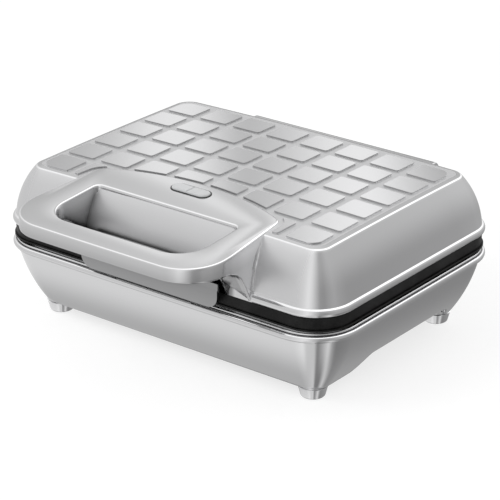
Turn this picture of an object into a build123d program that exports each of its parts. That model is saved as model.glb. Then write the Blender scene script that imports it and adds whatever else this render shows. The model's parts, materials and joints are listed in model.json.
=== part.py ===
from build123d import *
import math
import os

# Waffle maker with a hinged lid. Millimetres, +Z up, +X to the right, the handle towards -Y.
# Each piece is drawn round the middle of the plates, and then moved so that the origin
# lies on the table, midway between the handle's front and the cord inlet's back.

# Plan size of the two halves
plate_half_width = 130.3     # outer side of the dark plate skirts
plate_half_depth = 94.6
plate_corner = 25.0
rim_step = 2.3               # the base rim stands this far outside the skirts
base_corner_extra = 6.2

# Heights, from the table upwards
foot_height = 8.0
base_wall_height = 40.5
rim_height = 6.0
hook_gap = 1.3               # slot between the base rim and the lower plate's flange
flange_thickness = 1.1
plate_gap = 0.3
skirt_height = 7.0
lid_height = 41.8            # from the lid's lower edge to the tile tops in the middle

# Walls and clearances
wall = 2.4
top_wall = 3.0
fit_gap = 0.4                # between pieces that drop into each other
running_gap = 0.05           # radial, between a pin and what turns on it
screw_radius = 2.0

# Curved sides
lid_side_radius = 62.0
lid_bead_radius = 3.2
lid_bead_inset = 1.3         # centre of the bead inside the skirt's face
rim_bead_inset = 1.4
base_side_radius = 105.0
base_foot_inset = 20.0       # how far the base wall draws in at its lower edge
rim_inset = 1.6
crown_radius = 5000.0        # the lid's top is a very shallow dome
lid_edge_round = 3.0

# Raised tiles of the lid
tile_columns = 8
tile_rows = 6
tile_pitch_x = 28.0
tile_pitch_y = 25.5
tile_width = 22.0
tile_depth = 20.0
tile_height = 1.0
tile_field_shift = -2.4
tile_field_corner = 9.0       # outer corners of the four corner tiles
tile_round = 1.2
tile_margin = 3.5            # groove round the handle plate

# Handle
handle_cover_length = 49.4   # how far the handle plate reaches back over the lid
handle_reach = 54.1          # how far the grip stands out in front of the plates
handle_half_width = 77.5
handle_shoulder_half = 72.6
handle_back_arc = 175.0
handle_front_round = 28.0
handle_front_bow = 0.6       # the grip stands this much further out in the middle
handle_shoulder_round = 9.0
handle_side_turn = 20.4      # the sides start to draw in this far in front of the plates
handle_plate_rise = 0.68     # above the tile tops, at its rear edge
handle_slope = 0.0652
handle_recess = 1.4          # depth of the plate's seat in the lid
handle_screw_rise = 21.8     # above the lid's lower edge
handle_bar_depth = 17.2      # front to back
handle_side_width = 21.2
handle_bar_drop = 15.4       # underside of the grip below the tile tops
hole_front_round = 19.0
hole_back_round = 3.5
gusset_reach = 14.5          # how far the side web leans out over its height
gusset_round = 22.0
handle_edge_round = 1.2

# Hinge at the rear
hinge_back = 13.4            # axis behind the plates
hinge_rise = 3.8             # axis above the seam
knuckle_radius = 7.5
hump_half_width = 75.1
hump_drop = 12.2             # its top below the tile tops
hump_lean = 3.4              # its top edge in front of the axis
hump_round = 5.5
ear_width = 8.0
ear_side_gap = 0.5
hinge_pin_radius = 2.5
pedestal_top_drop = 3.9      # below the base rim's top

# Cord inlet
gland_x = 45.0
gland_drop = 7.0             # below the pedestal's top
gland_bore = 3.4
gland_lip = 2.5

# Latch under the handle
latch_half_width = 54.5
latch_barrel_half = 48.4      # leaves room for the spring beside it
latch_tab_half = 36.0
latch_stand_off = 2.4        # pivot in front of the plates
latch_pivot_rise = 13.4      # pivot above the lid's lower edge
latch_pin_radius = 2.0
latch_barrel_radius = 3.3
latch_flap_thickness = 2.0
latch_flap_offset = 1.1      # from the pivot out to the flap's inner face
latch_tab_reach = 17.0
latch_corner_round = 8.0
hook_half_width = 30.0
hook_thickness = 0.8
hook_engagement = 1.8

# Waffle plates
cavity_depth = 11.0
plate_floor = 4.0
plate_wall = 3.0
cavity_divider = 5.0
cavity_corner = 12.0
peg_columns = 5
peg_rows = 7
peg_height = 8.0
peg_base = 13.4
peg_taper = 10.0

# Heating
heater_radius = 3.3
heater_half_x = 78.0
heater_half_y = 43.0
heater_bend = 16.0
heater_leg_x = 22.0
heater_end_y = 62.0
pan_half_width = 93.5
pan_half_depth = 58.5
pan_corner = 18.0
pan_depth = 12.0
pan_sheet = 0.8

# Feet
foot_inset_x = 27.3          # from the sides of the plates
foot_inset_y = 26.6
foot_top_radius = 9.6
foot_bottom_radius = 7.6
foot_round = 1.2
pad_radius = 6.0
pad_height = 2.6
pad_stand_out = 0.4
boss_radius = 10.5
foot_screw_head = 3.6

# Indicator
lens_length = 29.0
lens_width = 10.0
lens_back = 12.3             # from the handle plate's rear edge
lens_rise = 1.4
lamp_spacing = 14.0
lamp_radius = 2.6

# Side cut-outs of the base
cutout_height = 10.0
cutout_front = -44.0
cutout_front_run = 17.0
cutout_back = 66.0
cutout_back_run = 13.0

# Derived levels
rim_bottom_z = foot_height + base_wall_height
rim_top_z = rim_bottom_z + rim_height
flange_z = rim_top_z + hook_gap
flange_top_z = flange_z + flange_thickness
skirt_z = flange_top_z + plate_gap
lid_z = skirt_z + skirt_height
top_z = lid_z + lid_height
plateau_z = top_z - tile_height
base_half_width = plate_half_width + rim_step
base_half_depth = plate_half_depth + rim_step
base_corner = plate_corner + base_corner_extra
ledge_z = rim_top_z - 2.0
cover_z = foot_height + cutout_height
cover_top_z = cover_z + wall
lower_floor_z = flange_top_z - cavity_depth - plate_floor
upper_floor_z = skirt_z + cavity_depth + plate_floor
handle_back = handle_cover_length - plate_half_depth
handle_front = -plate_half_depth - handle_reach
handle_turn_y = -plate_half_depth - handle_side_turn
handle_bar_bottom = top_z - handle_bar_drop
lens_y = handle_back - lens_back
hinge_y = plate_half_depth + hinge_back
hinge_z = skirt_z + hinge_rise
hump_top = top_z - hump_drop
hump_top_y = hinge_y - hump_lean
latch_pivot_y = -plate_half_depth - latch_stand_off
latch_pivot_z = lid_z + latch_pivot_rise
foot_x = plate_half_width - foot_inset_x
foot_y = plate_half_depth - foot_inset_y

parts = {}


def at_plan(section_points):
    """Face from points of (outward, up); an arc is given as a pair of points in a tuple."""
    edges = []
    here = section_points[0]
    for step in section_points[1:]:
        if isinstance(step[0], tuple):
            edges.append(ThreePointArc(here, step[0], step[1]))
            here = step[1]
        else:
            edges.append(Line(here, step))
            here = step
    if math.dist(here, section_points[0]) > 0.001:
        edges.append(Line(here, section_points[0]))
    return make_face(edges)


def follow_rim(section, half_width, half_depth, corner):
    """Carry a section round a rounded rectangle; x of the section points outwards."""
    run_x = half_width - corner
    run_y = half_depth - corner
    pieces = []
    sides = ((0, half_width, run_y), (90, half_depth, run_x), (180, half_width, run_y), (270, half_depth, run_x))
    for turn, reach, run in sides:
        face = Plane(origin=(reach, run, 0), x_dir=(1, 0, 0), z_dir=(0, -1, 0)) * section
        side = extrude(face, amount=2 * run)
        bend = revolve(face, axis=Axis((reach - corner, run, 0), (0, 0, 1)), revolution_arc=90)
        pieces.append(Rot(0, 0, turn) * side)
        pieces.append(Rot(0, 0, turn) * bend)
    return pieces[0].fuse(*pieces[1:])


def filled_body(section, half_width, half_depth, corner, low, high):
    """The same, with its middle filled; the section's inner side lies at the corner centres."""
    ring = follow_rim(section, half_width, half_depth, corner)
    core = Pos(0, 0, low) * Box(
        2 * (half_width - corner),
        2 * (half_depth - corner),
        high - low,
        align=(Align.CENTER, Align.CENTER, Align.MIN),
    )
    return ring.fuse(core)


def slab(half_width, half_depth, corner, low, high):
    """Flat rounded plate between two heights."""
    outline = RectangleRounded(2 * half_width, 2 * half_depth, corner)
    return Pos(0, 0, low) * extrude(outline, amount=high - low)


def across(points, half_x, centre_x=0.0):
    """Prism of a (y, z) outline, running along X."""
    face = at_plan(points)
    return Pos(centre_x, 0, 0) * extrude(Plane.YZ * face, amount=half_x, both=True)


def rod_x(radius, x_low, x_high, y, z):
    """Round bar along X."""
    bar = Plane(origin=(x_low, y, z), z_dir=(1, 0, 0)) * Circle(radius)
    return extrude(bar, amount=x_high - x_low)


def rod_y(radius, x, y_low, y_high, z):
    """Round bar along Y."""
    bar = Plane(origin=(x, y_low, z), z_dir=(0, 1, 0)) * Circle(radius)
    return extrude(bar, amount=y_high - y_low)


def rod_z(radius, x, y, low, high):
    """Round bar along Z."""
    return Pos(x, y, low) * extrude(Circle(radius), amount=high - low)


def four(x, y):
    """The four mirrored places of a point."""
    return [(-x, -y), (x, -y), (-x, y), (x, y)]


def crown(z):
    """Everything under the lid's shallow dome, whose middle is at height z."""
    return Pos(0, 0, z - crown_radius) * Rot(0, 90, 0) * Sphere(crown_radius)


def lid_inset(height):
    """How far the lid's side has drawn in at a height above its lower edge."""
    return lid_side_radius - math.sqrt(lid_side_radius**2 - height**2)


def lid_block(shrink, low, top):
    """The lid's outer form, or the same form drawn in by a wall."""
    radius = lid_side_radius - shrink
    rise = top - lid_z

    def inset(height):
        return lid_side_radius - math.sqrt(radius**2 - height**2)

    start = low - lid_z
    section = at_plan(
        [
            (-plate_corner, low),
            (-inset(start), low),
            ((-inset((start + rise) / 2), lid_z + (start + rise) / 2), (-inset(rise), top)),
            (-plate_corner, top),
        ]
    )
    return filled_body(section, plate_half_width, plate_half_depth, plate_corner, low, top)


def base_arc_centre():
    """Centre of the arc that the base wall follows in section."""
    ax, az = -rim_inset, rim_bottom_z
    bx, bz = -base_foot_inset, foot_height
    length = math.hypot(bx - ax, bz - az)
    away = math.sqrt(base_side_radius**2 - (length / 2) ** 2)
    mx, mz = (ax + bx) / 2, (az + bz) / 2
    return mx + away * (bz - az) / length, mz - away * (bx - ax) / length


def base_side(z, shrink=0.0):
    """Outward place of the base wall at a height."""
    cx, cz = base_arc_centre()
    return cx + math.sqrt((base_side_radius - shrink) ** 2 - (z - cz) ** 2)


def base_block(shrink, low, high):
    """The base's outer form between two heights, or the same form drawn in by a wall."""
    middle = (low + high) / 2
    section = at_plan(
        [
            (-base_corner, low),
            (base_side(low, shrink), low),
            ((base_side(middle, shrink), middle), (base_side(high, shrink), high)),
            (-base_corner, high),
        ]
    )
    return filled_body(section, base_half_width, base_half_depth, base_corner, low, high)


def bead(radius, inset, z, half_width, half_depth, corner):
    """Half-round rim that runs all the way round."""
    return follow_rim(Pos(-inset, z) * Circle(radius), half_width, half_depth, corner)


def handle_plane(y):
    """Height of the handle's sloping top."""
    return top_z + handle_plate_rise + handle_slope * (y - handle_back)


def under_handle_top(lower_by):
    """Everything under the handle's top plane."""
    near, far = handle_front - 20, handle_back + 20
    outline = [
        (near, 30),
        (far, 30),
        (far, handle_plane(far) - lower_by),
        (near, handle_plane(near) - lower_by),
    ]
    return across(outline, handle_half_width + 20)


def corners_at(face, places):
    """The vertices of a face that lie at the given places."""
    found = []
    for place in places:
        found.append(face.vertices().sort_by_distance((place[0], place[1], 0))[0])
    return found


def handle_outline():
    """Plan of the handle plate without its opening."""
    sag = handle_back_arc - math.sqrt(handle_back_arc**2 - handle_shoulder_half**2)
    shoulder_y = handle_back - sag
    front_y = handle_front + handle_front_bow
    face = at_plan(
        [
            (-handle_shoulder_half, shoulder_y),
            (-handle_half_width, handle_turn_y),
            (-handle_half_width, front_y),
            ((0, handle_front), (handle_half_width, front_y)),
            (handle_half_width, handle_turn_y),
            (handle_shoulder_half, shoulder_y),
            ((0, handle_back), (-handle_shoulder_half, shoulder_y)),
        ]
    )
    front = corners_at(face, [(-handle_half_width, front_y), (handle_half_width, front_y)])
    face = fillet(front, handle_front_round)
    back = corners_at(face, [(-handle_shoulder_half, shoulder_y), (handle_shoulder_half, shoulder_y)])
    return fillet(back, handle_shoulder_round)


def hole_outline():
    """Plan of the hand opening."""
    half = handle_half_width - handle_side_width
    front = handle_front + handle_bar_depth
    back = -(plate_half_depth - lid_inset(plateau_z - lid_z)) - 2.0
    face = at_plan([(-half, front), (half, front), (half, back), (-half, back)])
    face = fillet(corners_at(face, [(-half, front), (half, front)]), hole_front_round)
    return fillet(corners_at(face, [(-half, back), (half, back)]), hole_back_round)


def under_gusset():
    """Space under the front bar and the leaning side webs."""
    near = handle_front - 20
    foot = -plate_half_depth + 0.6
    knee = foot - gusset_reach
    face = at_plan([(near, handle_bar_bottom), (knee, handle_bar_bottom), (foot, lid_z), (foot, 30), (near, 30)])
    face = fillet(corners_at(face, [(knee, handle_bar_bottom)]), gusset_round)
    return extrude(Plane.YZ * face, amount=handle_half_width + 20, both=True)


def screw(head_radius, head_height, length, tip_radius):
    """Screw along +Z, its head's outer face at zero."""
    head = extrude(Circle(head_radius), amount=head_height)
    cross = Rectangle(1.0, head_radius * 1.2) + Rectangle(head_radius * 1.2, 1.0)
    head = head - extrude(cross, amount=head_height * 0.5)
    return head + rod_z(tip_radius, 0, 0, head_height, length)


def tube_path(points, bend, radius):
    """Bent round bar through the points."""
    path = FilletPolyline(*points, radius=bend)
    start = Vector(*points[0])
    ahead = Vector(*points[1]) - start
    ring = Plane(origin=start, z_dir=ahead) * Circle(radius)
    return sweep(ring, path=path)


# Lid shell
lid_outer = lid_block(0, lid_z, top_z + 1) & crown(plateau_z)
top_edges = lid_outer.edges().filter_by(lambda e: e.bounding_box().min.Z > plateau_z - 4)
lid_outer_round = fillet(top_edges, lid_edge_round)
lid_inner = lid_block(wall, lid_z - 1, top_z) & crown(plateau_z - top_wall)
lid_seat = lid_outer & crown(plateau_z - handle_recess)
outline = handle_outline()
hole = hole_outline()
handle_prism = Pos(0, 0, lid_z) * extrude(outline, amount=lid_height + 20)
lid_bead = bead(lid_bead_radius, lid_bead_inset, lid_z + lid_bead_radius, plate_half_width, plate_half_depth, plate_corner)
lid_bead = lid_bead - lid_inner

tile = RectangleRounded(tile_width, tile_depth, tile_round)
tile_field = Pos(0, tile_field_shift) * GridLocations(tile_pitch_x, tile_pitch_y, tile_columns, tile_rows) * tile
tile_field = Sketch() + tile_field
field_width = tile_pitch_x * (tile_columns - 1) + tile_width
field_depth = tile_pitch_y * (tile_rows - 1) + tile_depth
tile_field = tile_field & (Pos(0, tile_field_shift) * RectangleRounded(field_width, field_depth, tile_field_corner))
tile_field = tile_field - offset(outline, amount=tile_margin)
tiles = (Pos(0, 0, plateau_z - 2) * extrude(tile_field, amount=6)) & crown(top_z)

hump_bottom_z = hinge_z + 7
hump_outline = [
    (plate_half_depth - 12, hump_top),
    (hump_top_y, hump_top),
    ((hump_top_y + hump_round * 0.72, hump_top - hump_round * 0.28), (hump_top_y + hump_round, hump_top - hump_round)),
    (hinge_y + knuckle_radius, hinge_z),
    ((hinge_y, hinge_z - knuckle_radius), (hinge_y - knuckle_radius, hinge_z)),
    (hinge_y - knuckle_radius, hump_bottom_z - 2),
    (hinge_y - knuckle_radius - 4, hump_bottom_z),
    (plate_half_depth - 12, hump_bottom_z),
]
hump_hollow = [
    (plate_half_depth - 16, hump_top - wall),
    (hump_top_y - 1, hump_top - wall),
    (hump_top_y + hump_round - wall, hump_top - hump_round - 1),
    (hinge_y + knuckle_radius - wall - 1.6, hinge_z + knuckle_radius + 1),
    (hinge_y + knuckle_radius - wall - 1.6, hinge_z - 3),
    (hinge_y - knuckle_radius + wall, hinge_z - 3),
    (hinge_y - knuckle_radius + wall, hinge_z + knuckle_radius + 1),
    (plate_half_depth - 16, hinge_z + knuckle_radius + 1),
]
pin_bore_depth = 11.0
hump = across(hump_outline, hump_half_width) - lid_block(wall, lid_z - 1, top_z)
lid_shell = (lid_outer_round - lid_inner) + hump
lid_shell = lid_shell - across(hump_hollow, hump_half_width - pin_bore_depth - 1)
lid_shell = lid_shell + lid_bead
lid_shell = lid_shell - (handle_prism - lid_seat)
lid_shell = lid_shell + (tiles - lid_inner)
for side in (-1, 1):
    inner_end = side * (hump_half_width - pin_bore_depth)
    outer_end = side * (hump_half_width + 1)
    low, high = sorted((inner_end, outer_end))
    lid_shell = lid_shell - rod_x(hinge_pin_radius + running_gap, low, high, hinge_y, hinge_z)

# Posts inside the lid carry the upper plate
cavity_half_width = base_half_width - 12.4 - fit_gap - plate_wall
cavity_half_depth = base_half_depth - 12.4 - fit_gap - plate_wall
cell_x = (cavity_half_width - cavity_divider / 2) / peg_columns
cell_y = 2 * cavity_half_depth / peg_rows
post_x = cavity_divider / 2 + (peg_columns - 1) * cell_x
post_y = cavity_half_depth - cell_y
for x, y in four(post_x, post_y):
    post = rod_z(4.5, x, y, upper_floor_z, top_z) & crown(plateau_z - top_wall + 0.5)
    lid_shell = lid_shell + post
    lid_shell = lid_shell - rod_z(1.5, x, y, upper_floor_z - 1, upper_floor_z + 12)

# Screw holes for the handle
handle_screw_x = handle_half_width - handle_side_width / 2
handle_screw_z = (lid_z + handle_screw_rise,)
for side in (-1, 1):
    for z in handle_screw_z:
        lid_shell = lid_shell - rod_y(1.7, side * handle_screw_x, -plate_half_depth - 5, -plate_half_depth + 20, z)

# Opening for the indicator lens
lens_window = SlotOverall(lens_length - 2, lens_width - 2)
lens_hole = Pos(0, lens_y, plateau_z - 10) * extrude(lens_window, amount=20)
lid_shell = lid_shell - lens_hole
parts["lid_shell"] = lid_shell

# Handle
handle_full = (Pos(0, 0, lid_z) * extrude(outline - hole, amount=lid_height + 20)) & under_handle_top(0)
handle = handle_full - under_gusset() - lid_seat
top_face = handle.faces().filter_by(lambda f: f.normal_at().Z > 0.99).sort_by(SortBy.AREA)[-1]
handle = fillet(top_face.edges(), handle_edge_round)
inner_plan = offset(outline, amount=-wall) - offset(hole, amount=wall)
knee_y = -plate_half_depth + 0.6 - gusset_reach
cover_edge_y = knee_y - 4.0
web_floor = [
    (cover_edge_y, 40),
    (cover_edge_y, handle_bar_bottom + wall),
    (knee_y + 1.2, handle_bar_bottom + wall),
    (-plate_half_depth + 0.6 + 2.1, lid_z + 1.2),
    (-plate_half_depth + 0.6 + 2.1, 40),
]
cavity = (Pos(0, 0, lid_z - 4) * extrude(inner_plan, amount=lid_height + 20)) & under_handle_top(wall)
cavity = cavity - across(web_floor, handle_half_width + 5) - lid_block(-wall, lid_z - 5, top_z + 5)
cavity = cavity - Pos(0, latch_pivot_y, latch_pivot_z) * Box(2 * (handle_half_width - 15), 10, 10)
for side in (-1, 1):
    for z in handle_screw_z:
        cavity = cavity - rod_y(3.6, side * handle_screw_x, -plate_half_depth - 12, -plate_half_depth + 20, z)
handle = handle - cavity
pin_end = handle_half_width - handle_side_width + 4.0
handle = handle - rod_x(latch_pin_radius, -pin_end, pin_end, latch_pivot_y, latch_pivot_z)
for side in (-1, 1):
    for z in handle_screw_z:
        handle = handle - rod_y(1.4, side * handle_screw_x, -plate_half_depth - 8, -plate_half_depth + 20, z)
lens_pocket = Pos(0, lens_y, handle_plane(lens_y) - 1.0) * extrude(SlotOverall(lens_length, lens_width), amount=6)
handle = handle - lens_hole - lens_pocket
cover_plan = offset(outline, amount=-wall - 0.1) - offset(hole, amount=wall + 0.1)
cover = (Pos(0, 0, handle_bar_bottom) * extrude(cover_plan, amount=2.0)) & across(
    [(handle_front - 5, 60), (cover_edge_y - 0.1, 60), (cover_edge_y - 0.1, 110), (handle_front - 5, 110)],
    handle_half_width,
)
cover_screw_spots = [(-handle_screw_x, cover_edge_y - 9), (handle_screw_x, cover_edge_y - 9), (0, handle_front + 7.6)]
for x, y in cover_screw_spots:
    handle = handle + rod_z(2.9, x, y, handle_bar_bottom + 2.0, handle_plane(y) - 1.5)
    handle = handle - rod_z(1.2, x, y, handle_bar_bottom + 1, handle_bar_bottom + 7)
    cover = cover - rod_z(1.4, x, y, handle_bar_bottom - 1, handle_bar_bottom + 3)
    cover = cover - rod_z(2.4, x, y, handle_bar_bottom - 1, handle_bar_bottom + 1.2)
parts["handle"] = handle
parts["handle_cover"] = cover
cover_screws = [Pos(x, y, handle_bar_bottom) * screw(2.3, 1.2, 6.5, 1.2) for x, y in cover_screw_spots]
parts["handle_cover_screws"] = Compound(children=cover_screws)
inside_wall_y = -(plate_half_depth - lid_inset(handle_screw_z[0] - lid_z) - wall) + 1.4
handle_screws = []
for side in (-1, 1):
    for z in handle_screw_z:
        handle_screws.append(Pos(side * handle_screw_x, inside_wall_y + 1.6, z) * Rot(90, 0, 0) * screw(3.0, 1.6, 14, 1.4))
parts["handle_screws"] = Compound(children=handle_screws)

# Indicator
lens_top = handle_plane(lens_y)
lens = Pos(0, lens_y, lens_top - 4.6) * extrude(SlotOverall(lens_length - 2.4, lens_width - 2.4), amount=3.8)
lens_cap = Pos(0, lens_y, lens_top - 1.0) * extrude(SlotOverall(lens_length - 0.4, lens_width - 0.4), amount=1.0 + lens_rise)
lens_cap = fillet(lens_cap.faces().sort_by(Axis.Z)[-1].edges(), 1.2)
lens = lens + lens_cap
lens = lens - Pos(0, lens_y, lens_top + lens_rise) * Box(0.7, lens_width + 2, 0.8)
parts["indicator_lens"] = lens
holder_top = plateau_z - top_wall - 0.6
holder = Pos(0, lens_y, holder_top - 9) * extrude(RectangleRounded(38, 16, 2), amount=9)
holder = holder - Pos(0, lens_y, holder_top - 7) * extrude(SlotOverall(lens_length - 2, lens_width - 2), amount=10)
lamps = []
for side in (-1, 1):
    x = side * lamp_spacing / 2
    holder = holder - rod_z(lamp_radius, x, lens_y, holder_top - 12, holder_top)
    bulb = rod_z(lamp_radius, x, lens_y, holder_top - 11, holder_top - lamp_radius - 1)
    lamps.append(bulb + Pos(x, lens_y, holder_top - lamp_radius - 1) * Sphere(lamp_radius))
parts["lamp_holder"] = holder
parts["power_lamp"] = lamps[0]
parts["ready_lamp"] = lamps[1]

# Base shell
base_shell = base_block(0, foot_height, rim_bottom_z + 0.2)
ring_top = slab(base_half_width - rim_inset, base_half_depth - rim_inset, base_corner - rim_inset, rim_bottom_z, ledge_z)
base_shell = base_shell + ring_top
pedestal_top = rim_top_z - pedestal_top_drop
pedestal_back = hinge_y + knuckle_radius
gland_z = pedestal_top - gland_drop
ear_low = hump_half_width + ear_side_gap
ear_high = ear_low + ear_width
pedestal = across(
    [
        (base_half_depth - 20, 20),
        (hinge_y - 2, 29),
        (pedestal_back, 38),
        (pedestal_back, pedestal_top),
        (base_half_depth - 20, pedestal_top),
    ],
    ear_high,
)
base_shell = base_shell + pedestal
base_shell = base_shell - base_block(wall, foot_height - 1, ledge_z - wall)
base_shell = base_shell - across(
    [
        (base_half_depth - 24, 23.5),
        (hinge_y - 3, 31.5),
        (pedestal_back - wall, 39),
        (pedestal_back - wall, pedestal_top - wall),
        (base_half_depth - 24, pedestal_top - wall),
    ],
    ear_high - wall,
)
opening_inset = 12.4
plate_opening = slab(
    base_half_width - opening_inset,
    base_half_depth - opening_inset,
    base_corner - opening_inset,
    ledge_z - 10,
    flange_z,
)
upstand = slab(
    base_half_width - opening_inset + wall,
    base_half_depth - opening_inset + wall,
    base_corner - opening_inset + wall,
    ledge_z - 1,
    flange_z,
)
base_shell = (base_shell + upstand) - plate_opening
rim_bead = bead(rim_height / 2, rim_bead_inset, rim_bottom_z + rim_height / 2, base_half_width, base_half_depth, base_corner)
base_shell = base_shell + rim_bead

cutout_low = foot_height - 2
cutout_top = foot_height + cutout_height
front_bend = cutout_front + cutout_front_run
back_bend = cutout_back - cutout_back_run
cutout = [
    (cutout_front - 2, cutout_low),
    (cutout_front, foot_height),
    (
        (cutout_front + cutout_front_run * 0.28, foot_height + cutout_height * 0.16),
        (cutout_front + cutout_front_run * 0.5, foot_height + cutout_height * 0.5),
    ),
    ((cutout_front + cutout_front_run * 0.72, foot_height + cutout_height * 0.84), (front_bend, cutout_top)),
    (back_bend, cutout_top),
    (
        (back_bend + cutout_back_run * 0.28, foot_height + cutout_height * 0.84),
        (back_bend + cutout_back_run * 0.5, foot_height + cutout_height * 0.5),
    ),
    ((back_bend + cutout_back_run * 0.72, foot_height + cutout_height * 0.16), (cutout_back, foot_height)),
    (cutout_back + 2, cutout_low),
]
base_shell = base_shell - across(cutout, base_half_width + 5)

foot_block = base_block(0, foot_height, cover_z)
for x, y in four(foot_x, foot_y):
    boss = rod_z(boss_radius, x, y, foot_height, cover_z) & foot_block
    base_shell = base_shell + boss
    base_shell = base_shell - rod_z(screw_radius + 0.2, x, y, foot_height - 1, cover_z + 1)

ear_shape = [
    (hinge_y - knuckle_radius, pedestal_top - 2),
    (hinge_y - knuckle_radius, hinge_z),
    ((hinge_y, hinge_z + knuckle_radius), (hinge_y + knuckle_radius, hinge_z)),
    (hinge_y + knuckle_radius, pedestal_top - 2),
]
for side in (-1, 1):
    ear = across(ear_shape, ear_width / 2, side * (ear_low + ear_high) / 2)
    base_shell = base_shell + ear
    low, high = sorted((side * (ear_low - 1), side * (ear_high + 1)))
    base_shell = base_shell - rod_x(hinge_pin_radius, low, high, hinge_y, hinge_z)
base_shell = base_shell - rod_y(gland_bore + 0.8, gland_x, pedestal_back - 6, pedestal_back + 4, gland_z)
parts["base_shell"] = base_shell

# Hinge pins
for side, name in ((-1, "left"), (1, "right")):
    low, high = sorted((side * (hump_half_width - pin_bore_depth + 1), side * ear_high))
    pin = rod_x(hinge_pin_radius, low, high, hinge_y, hinge_z)
    head_low, head_high = sorted((side * ear_high, side * (ear_high + 1.5)))
    pin = pin + rod_x(4.0, head_low, head_high, hinge_y, hinge_z)
    parts[f"hinge_pin_{name}"] = pin

# Cord inlet, without a cord
gland = rod_y(gland_bore + 2.2, gland_x, pedestal_back, pedestal_back + gland_lip, gland_z)
gland = gland + rod_y(gland_bore + 0.8, gland_x, pedestal_back - wall - 2, pedestal_back, gland_z)
gland = gland + rod_y(gland_bore + 1.1, gland_x, pedestal_back - wall - 3.5, pedestal_back - wall, gland_z)
gland = gland - rod_y(gland_bore, gland_x, pedestal_back - 10, pedestal_back + 5, gland_z)
parts["cord_inlet"] = gland

# Bottom cover
cover_inset = -base_side(cover_z) + wall + fit_gap
bottom_cover = slab(
    base_half_width - cover_inset,
    base_half_depth - cover_inset,
    base_corner - cover_inset,
    cover_z,
    cover_top_z,
)
vent = SlotOverall(46, 3.0, rotation=90)
vent_field = Sketch() + GridLocations(9, 1, 9, 1) * vent
bottom_cover = bottom_cover - Pos(0, 0, cover_z - 1) * extrude(vent_field, amount=wall + 2)
for x, y in four(foot_x, foot_y):
    bottom_cover = bottom_cover - rod_z(screw_radius + 0.2, x, y, cover_z - 1, cover_top_z + 1)
parts["bottom_cover"] = bottom_cover

# Feet, their rubber pads and the long screws inside them
foot_outline = [
    (0, pad_stand_out),
    (foot_bottom_radius - foot_round, pad_stand_out),
    (
        (foot_bottom_radius - foot_round * 0.29, pad_stand_out + foot_round * 0.29),
        (foot_bottom_radius, pad_stand_out + foot_round),
    ),
    (foot_top_radius, foot_height),
    (0, foot_height),
]
foot_blank = revolve(Plane.XZ * at_plan(foot_outline), axis=Axis.Z)
foot_blank = foot_blank - rod_z(pad_radius + 0.1, 0, 0, -1, pad_height)
foot_blank = foot_blank - rod_z(foot_screw_head + 0.3, 0, 0, 0, pad_height + 2.6)
foot_blank = foot_blank - rod_z(screw_radius + 0.2, 0, 0, 0, foot_height + 1)
pad_blank = rod_z(pad_radius, 0, 0, 0, pad_height)
pad_blank = chamfer(pad_blank.faces().sort_by(Axis.Z)[0].edges(), 0.3)
foot_names = ("front_left", "front_right", "rear_left", "rear_right")
foot_screws = []
screw_seat_z = pad_height + 2.6
screw_length = 34.0
for (x, y), name in zip(four(foot_x, foot_y), foot_names):
    parts[f"foot_{name}"] = Pos(x, y, 0) * foot_blank
    parts[f"foot_pad_{name}"] = Pos(x, y, 0) * pad_blank
    foot_screws.append(Pos(x, y, screw_seat_z - 2.2) * screw(foot_screw_head, 2.2, screw_length, screw_radius))
parts["foot_screws"] = Compound(children=foot_screws)


def waffle_pits(floor_z, mouth_z):
    """The two moulds of a plate, with their pegs left standing."""
    up = 1 if mouth_z > floor_z else -1
    length = cavity_half_width - cavity_divider / 2
    pits = None
    for side in (-1, 1):
        middle = side * (cavity_divider / 2 + length / 2)
        mouth = RectangleRounded(length, 2 * cavity_half_depth, cavity_corner)
        pit = extrude(Pos(0, 0, mouth_z) * mouth, amount=-up * cavity_depth, taper=6)
        pit = Pos(middle, 0, 0) * pit
        pits = pit if pits is None else pits + pit
    pegs = []
    peg = extrude(Rectangle(peg_base, peg_base), amount=peg_height, taper=peg_taper)
    if up < 0:
        peg = Rot(180, 0, 0) * peg
    for side in (-1, 1):
        middle = side * (cavity_divider / 2 + length / 2)
        for spot in GridLocations(cell_x, cell_y, peg_columns, peg_rows):
            pegs.append(Pos(middle, 0, floor_z) * spot * peg)
    return pits, pegs


# Lower waffle plate
pits, pegs = waffle_pits(flange_top_z - cavity_depth, flange_top_z)
lower_plate = slab(plate_half_width + 1.1, plate_half_depth + 0.9, plate_corner + 1, flange_z, flange_top_z)
lower_body = slab(
    base_half_width - opening_inset - fit_gap,
    base_half_depth - opening_inset - fit_gap,
    base_corner - opening_inset - fit_gap,
    lower_floor_z,
    flange_z,
)
lower_plate = (lower_plate + lower_body) - pits
lower_plate = lower_plate.fuse(*pegs)
for x, y in four(foot_x, foot_y):
    lower_plate = lower_plate + rod_z(4.5, x, y, cover_top_z, lower_floor_z)
    lower_plate = lower_plate - rod_z(screw_radius, x, y, cover_top_z - 1, screw_seat_z - 2.2 + screw_length)
parts["lower_plate"] = lower_plate

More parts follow.
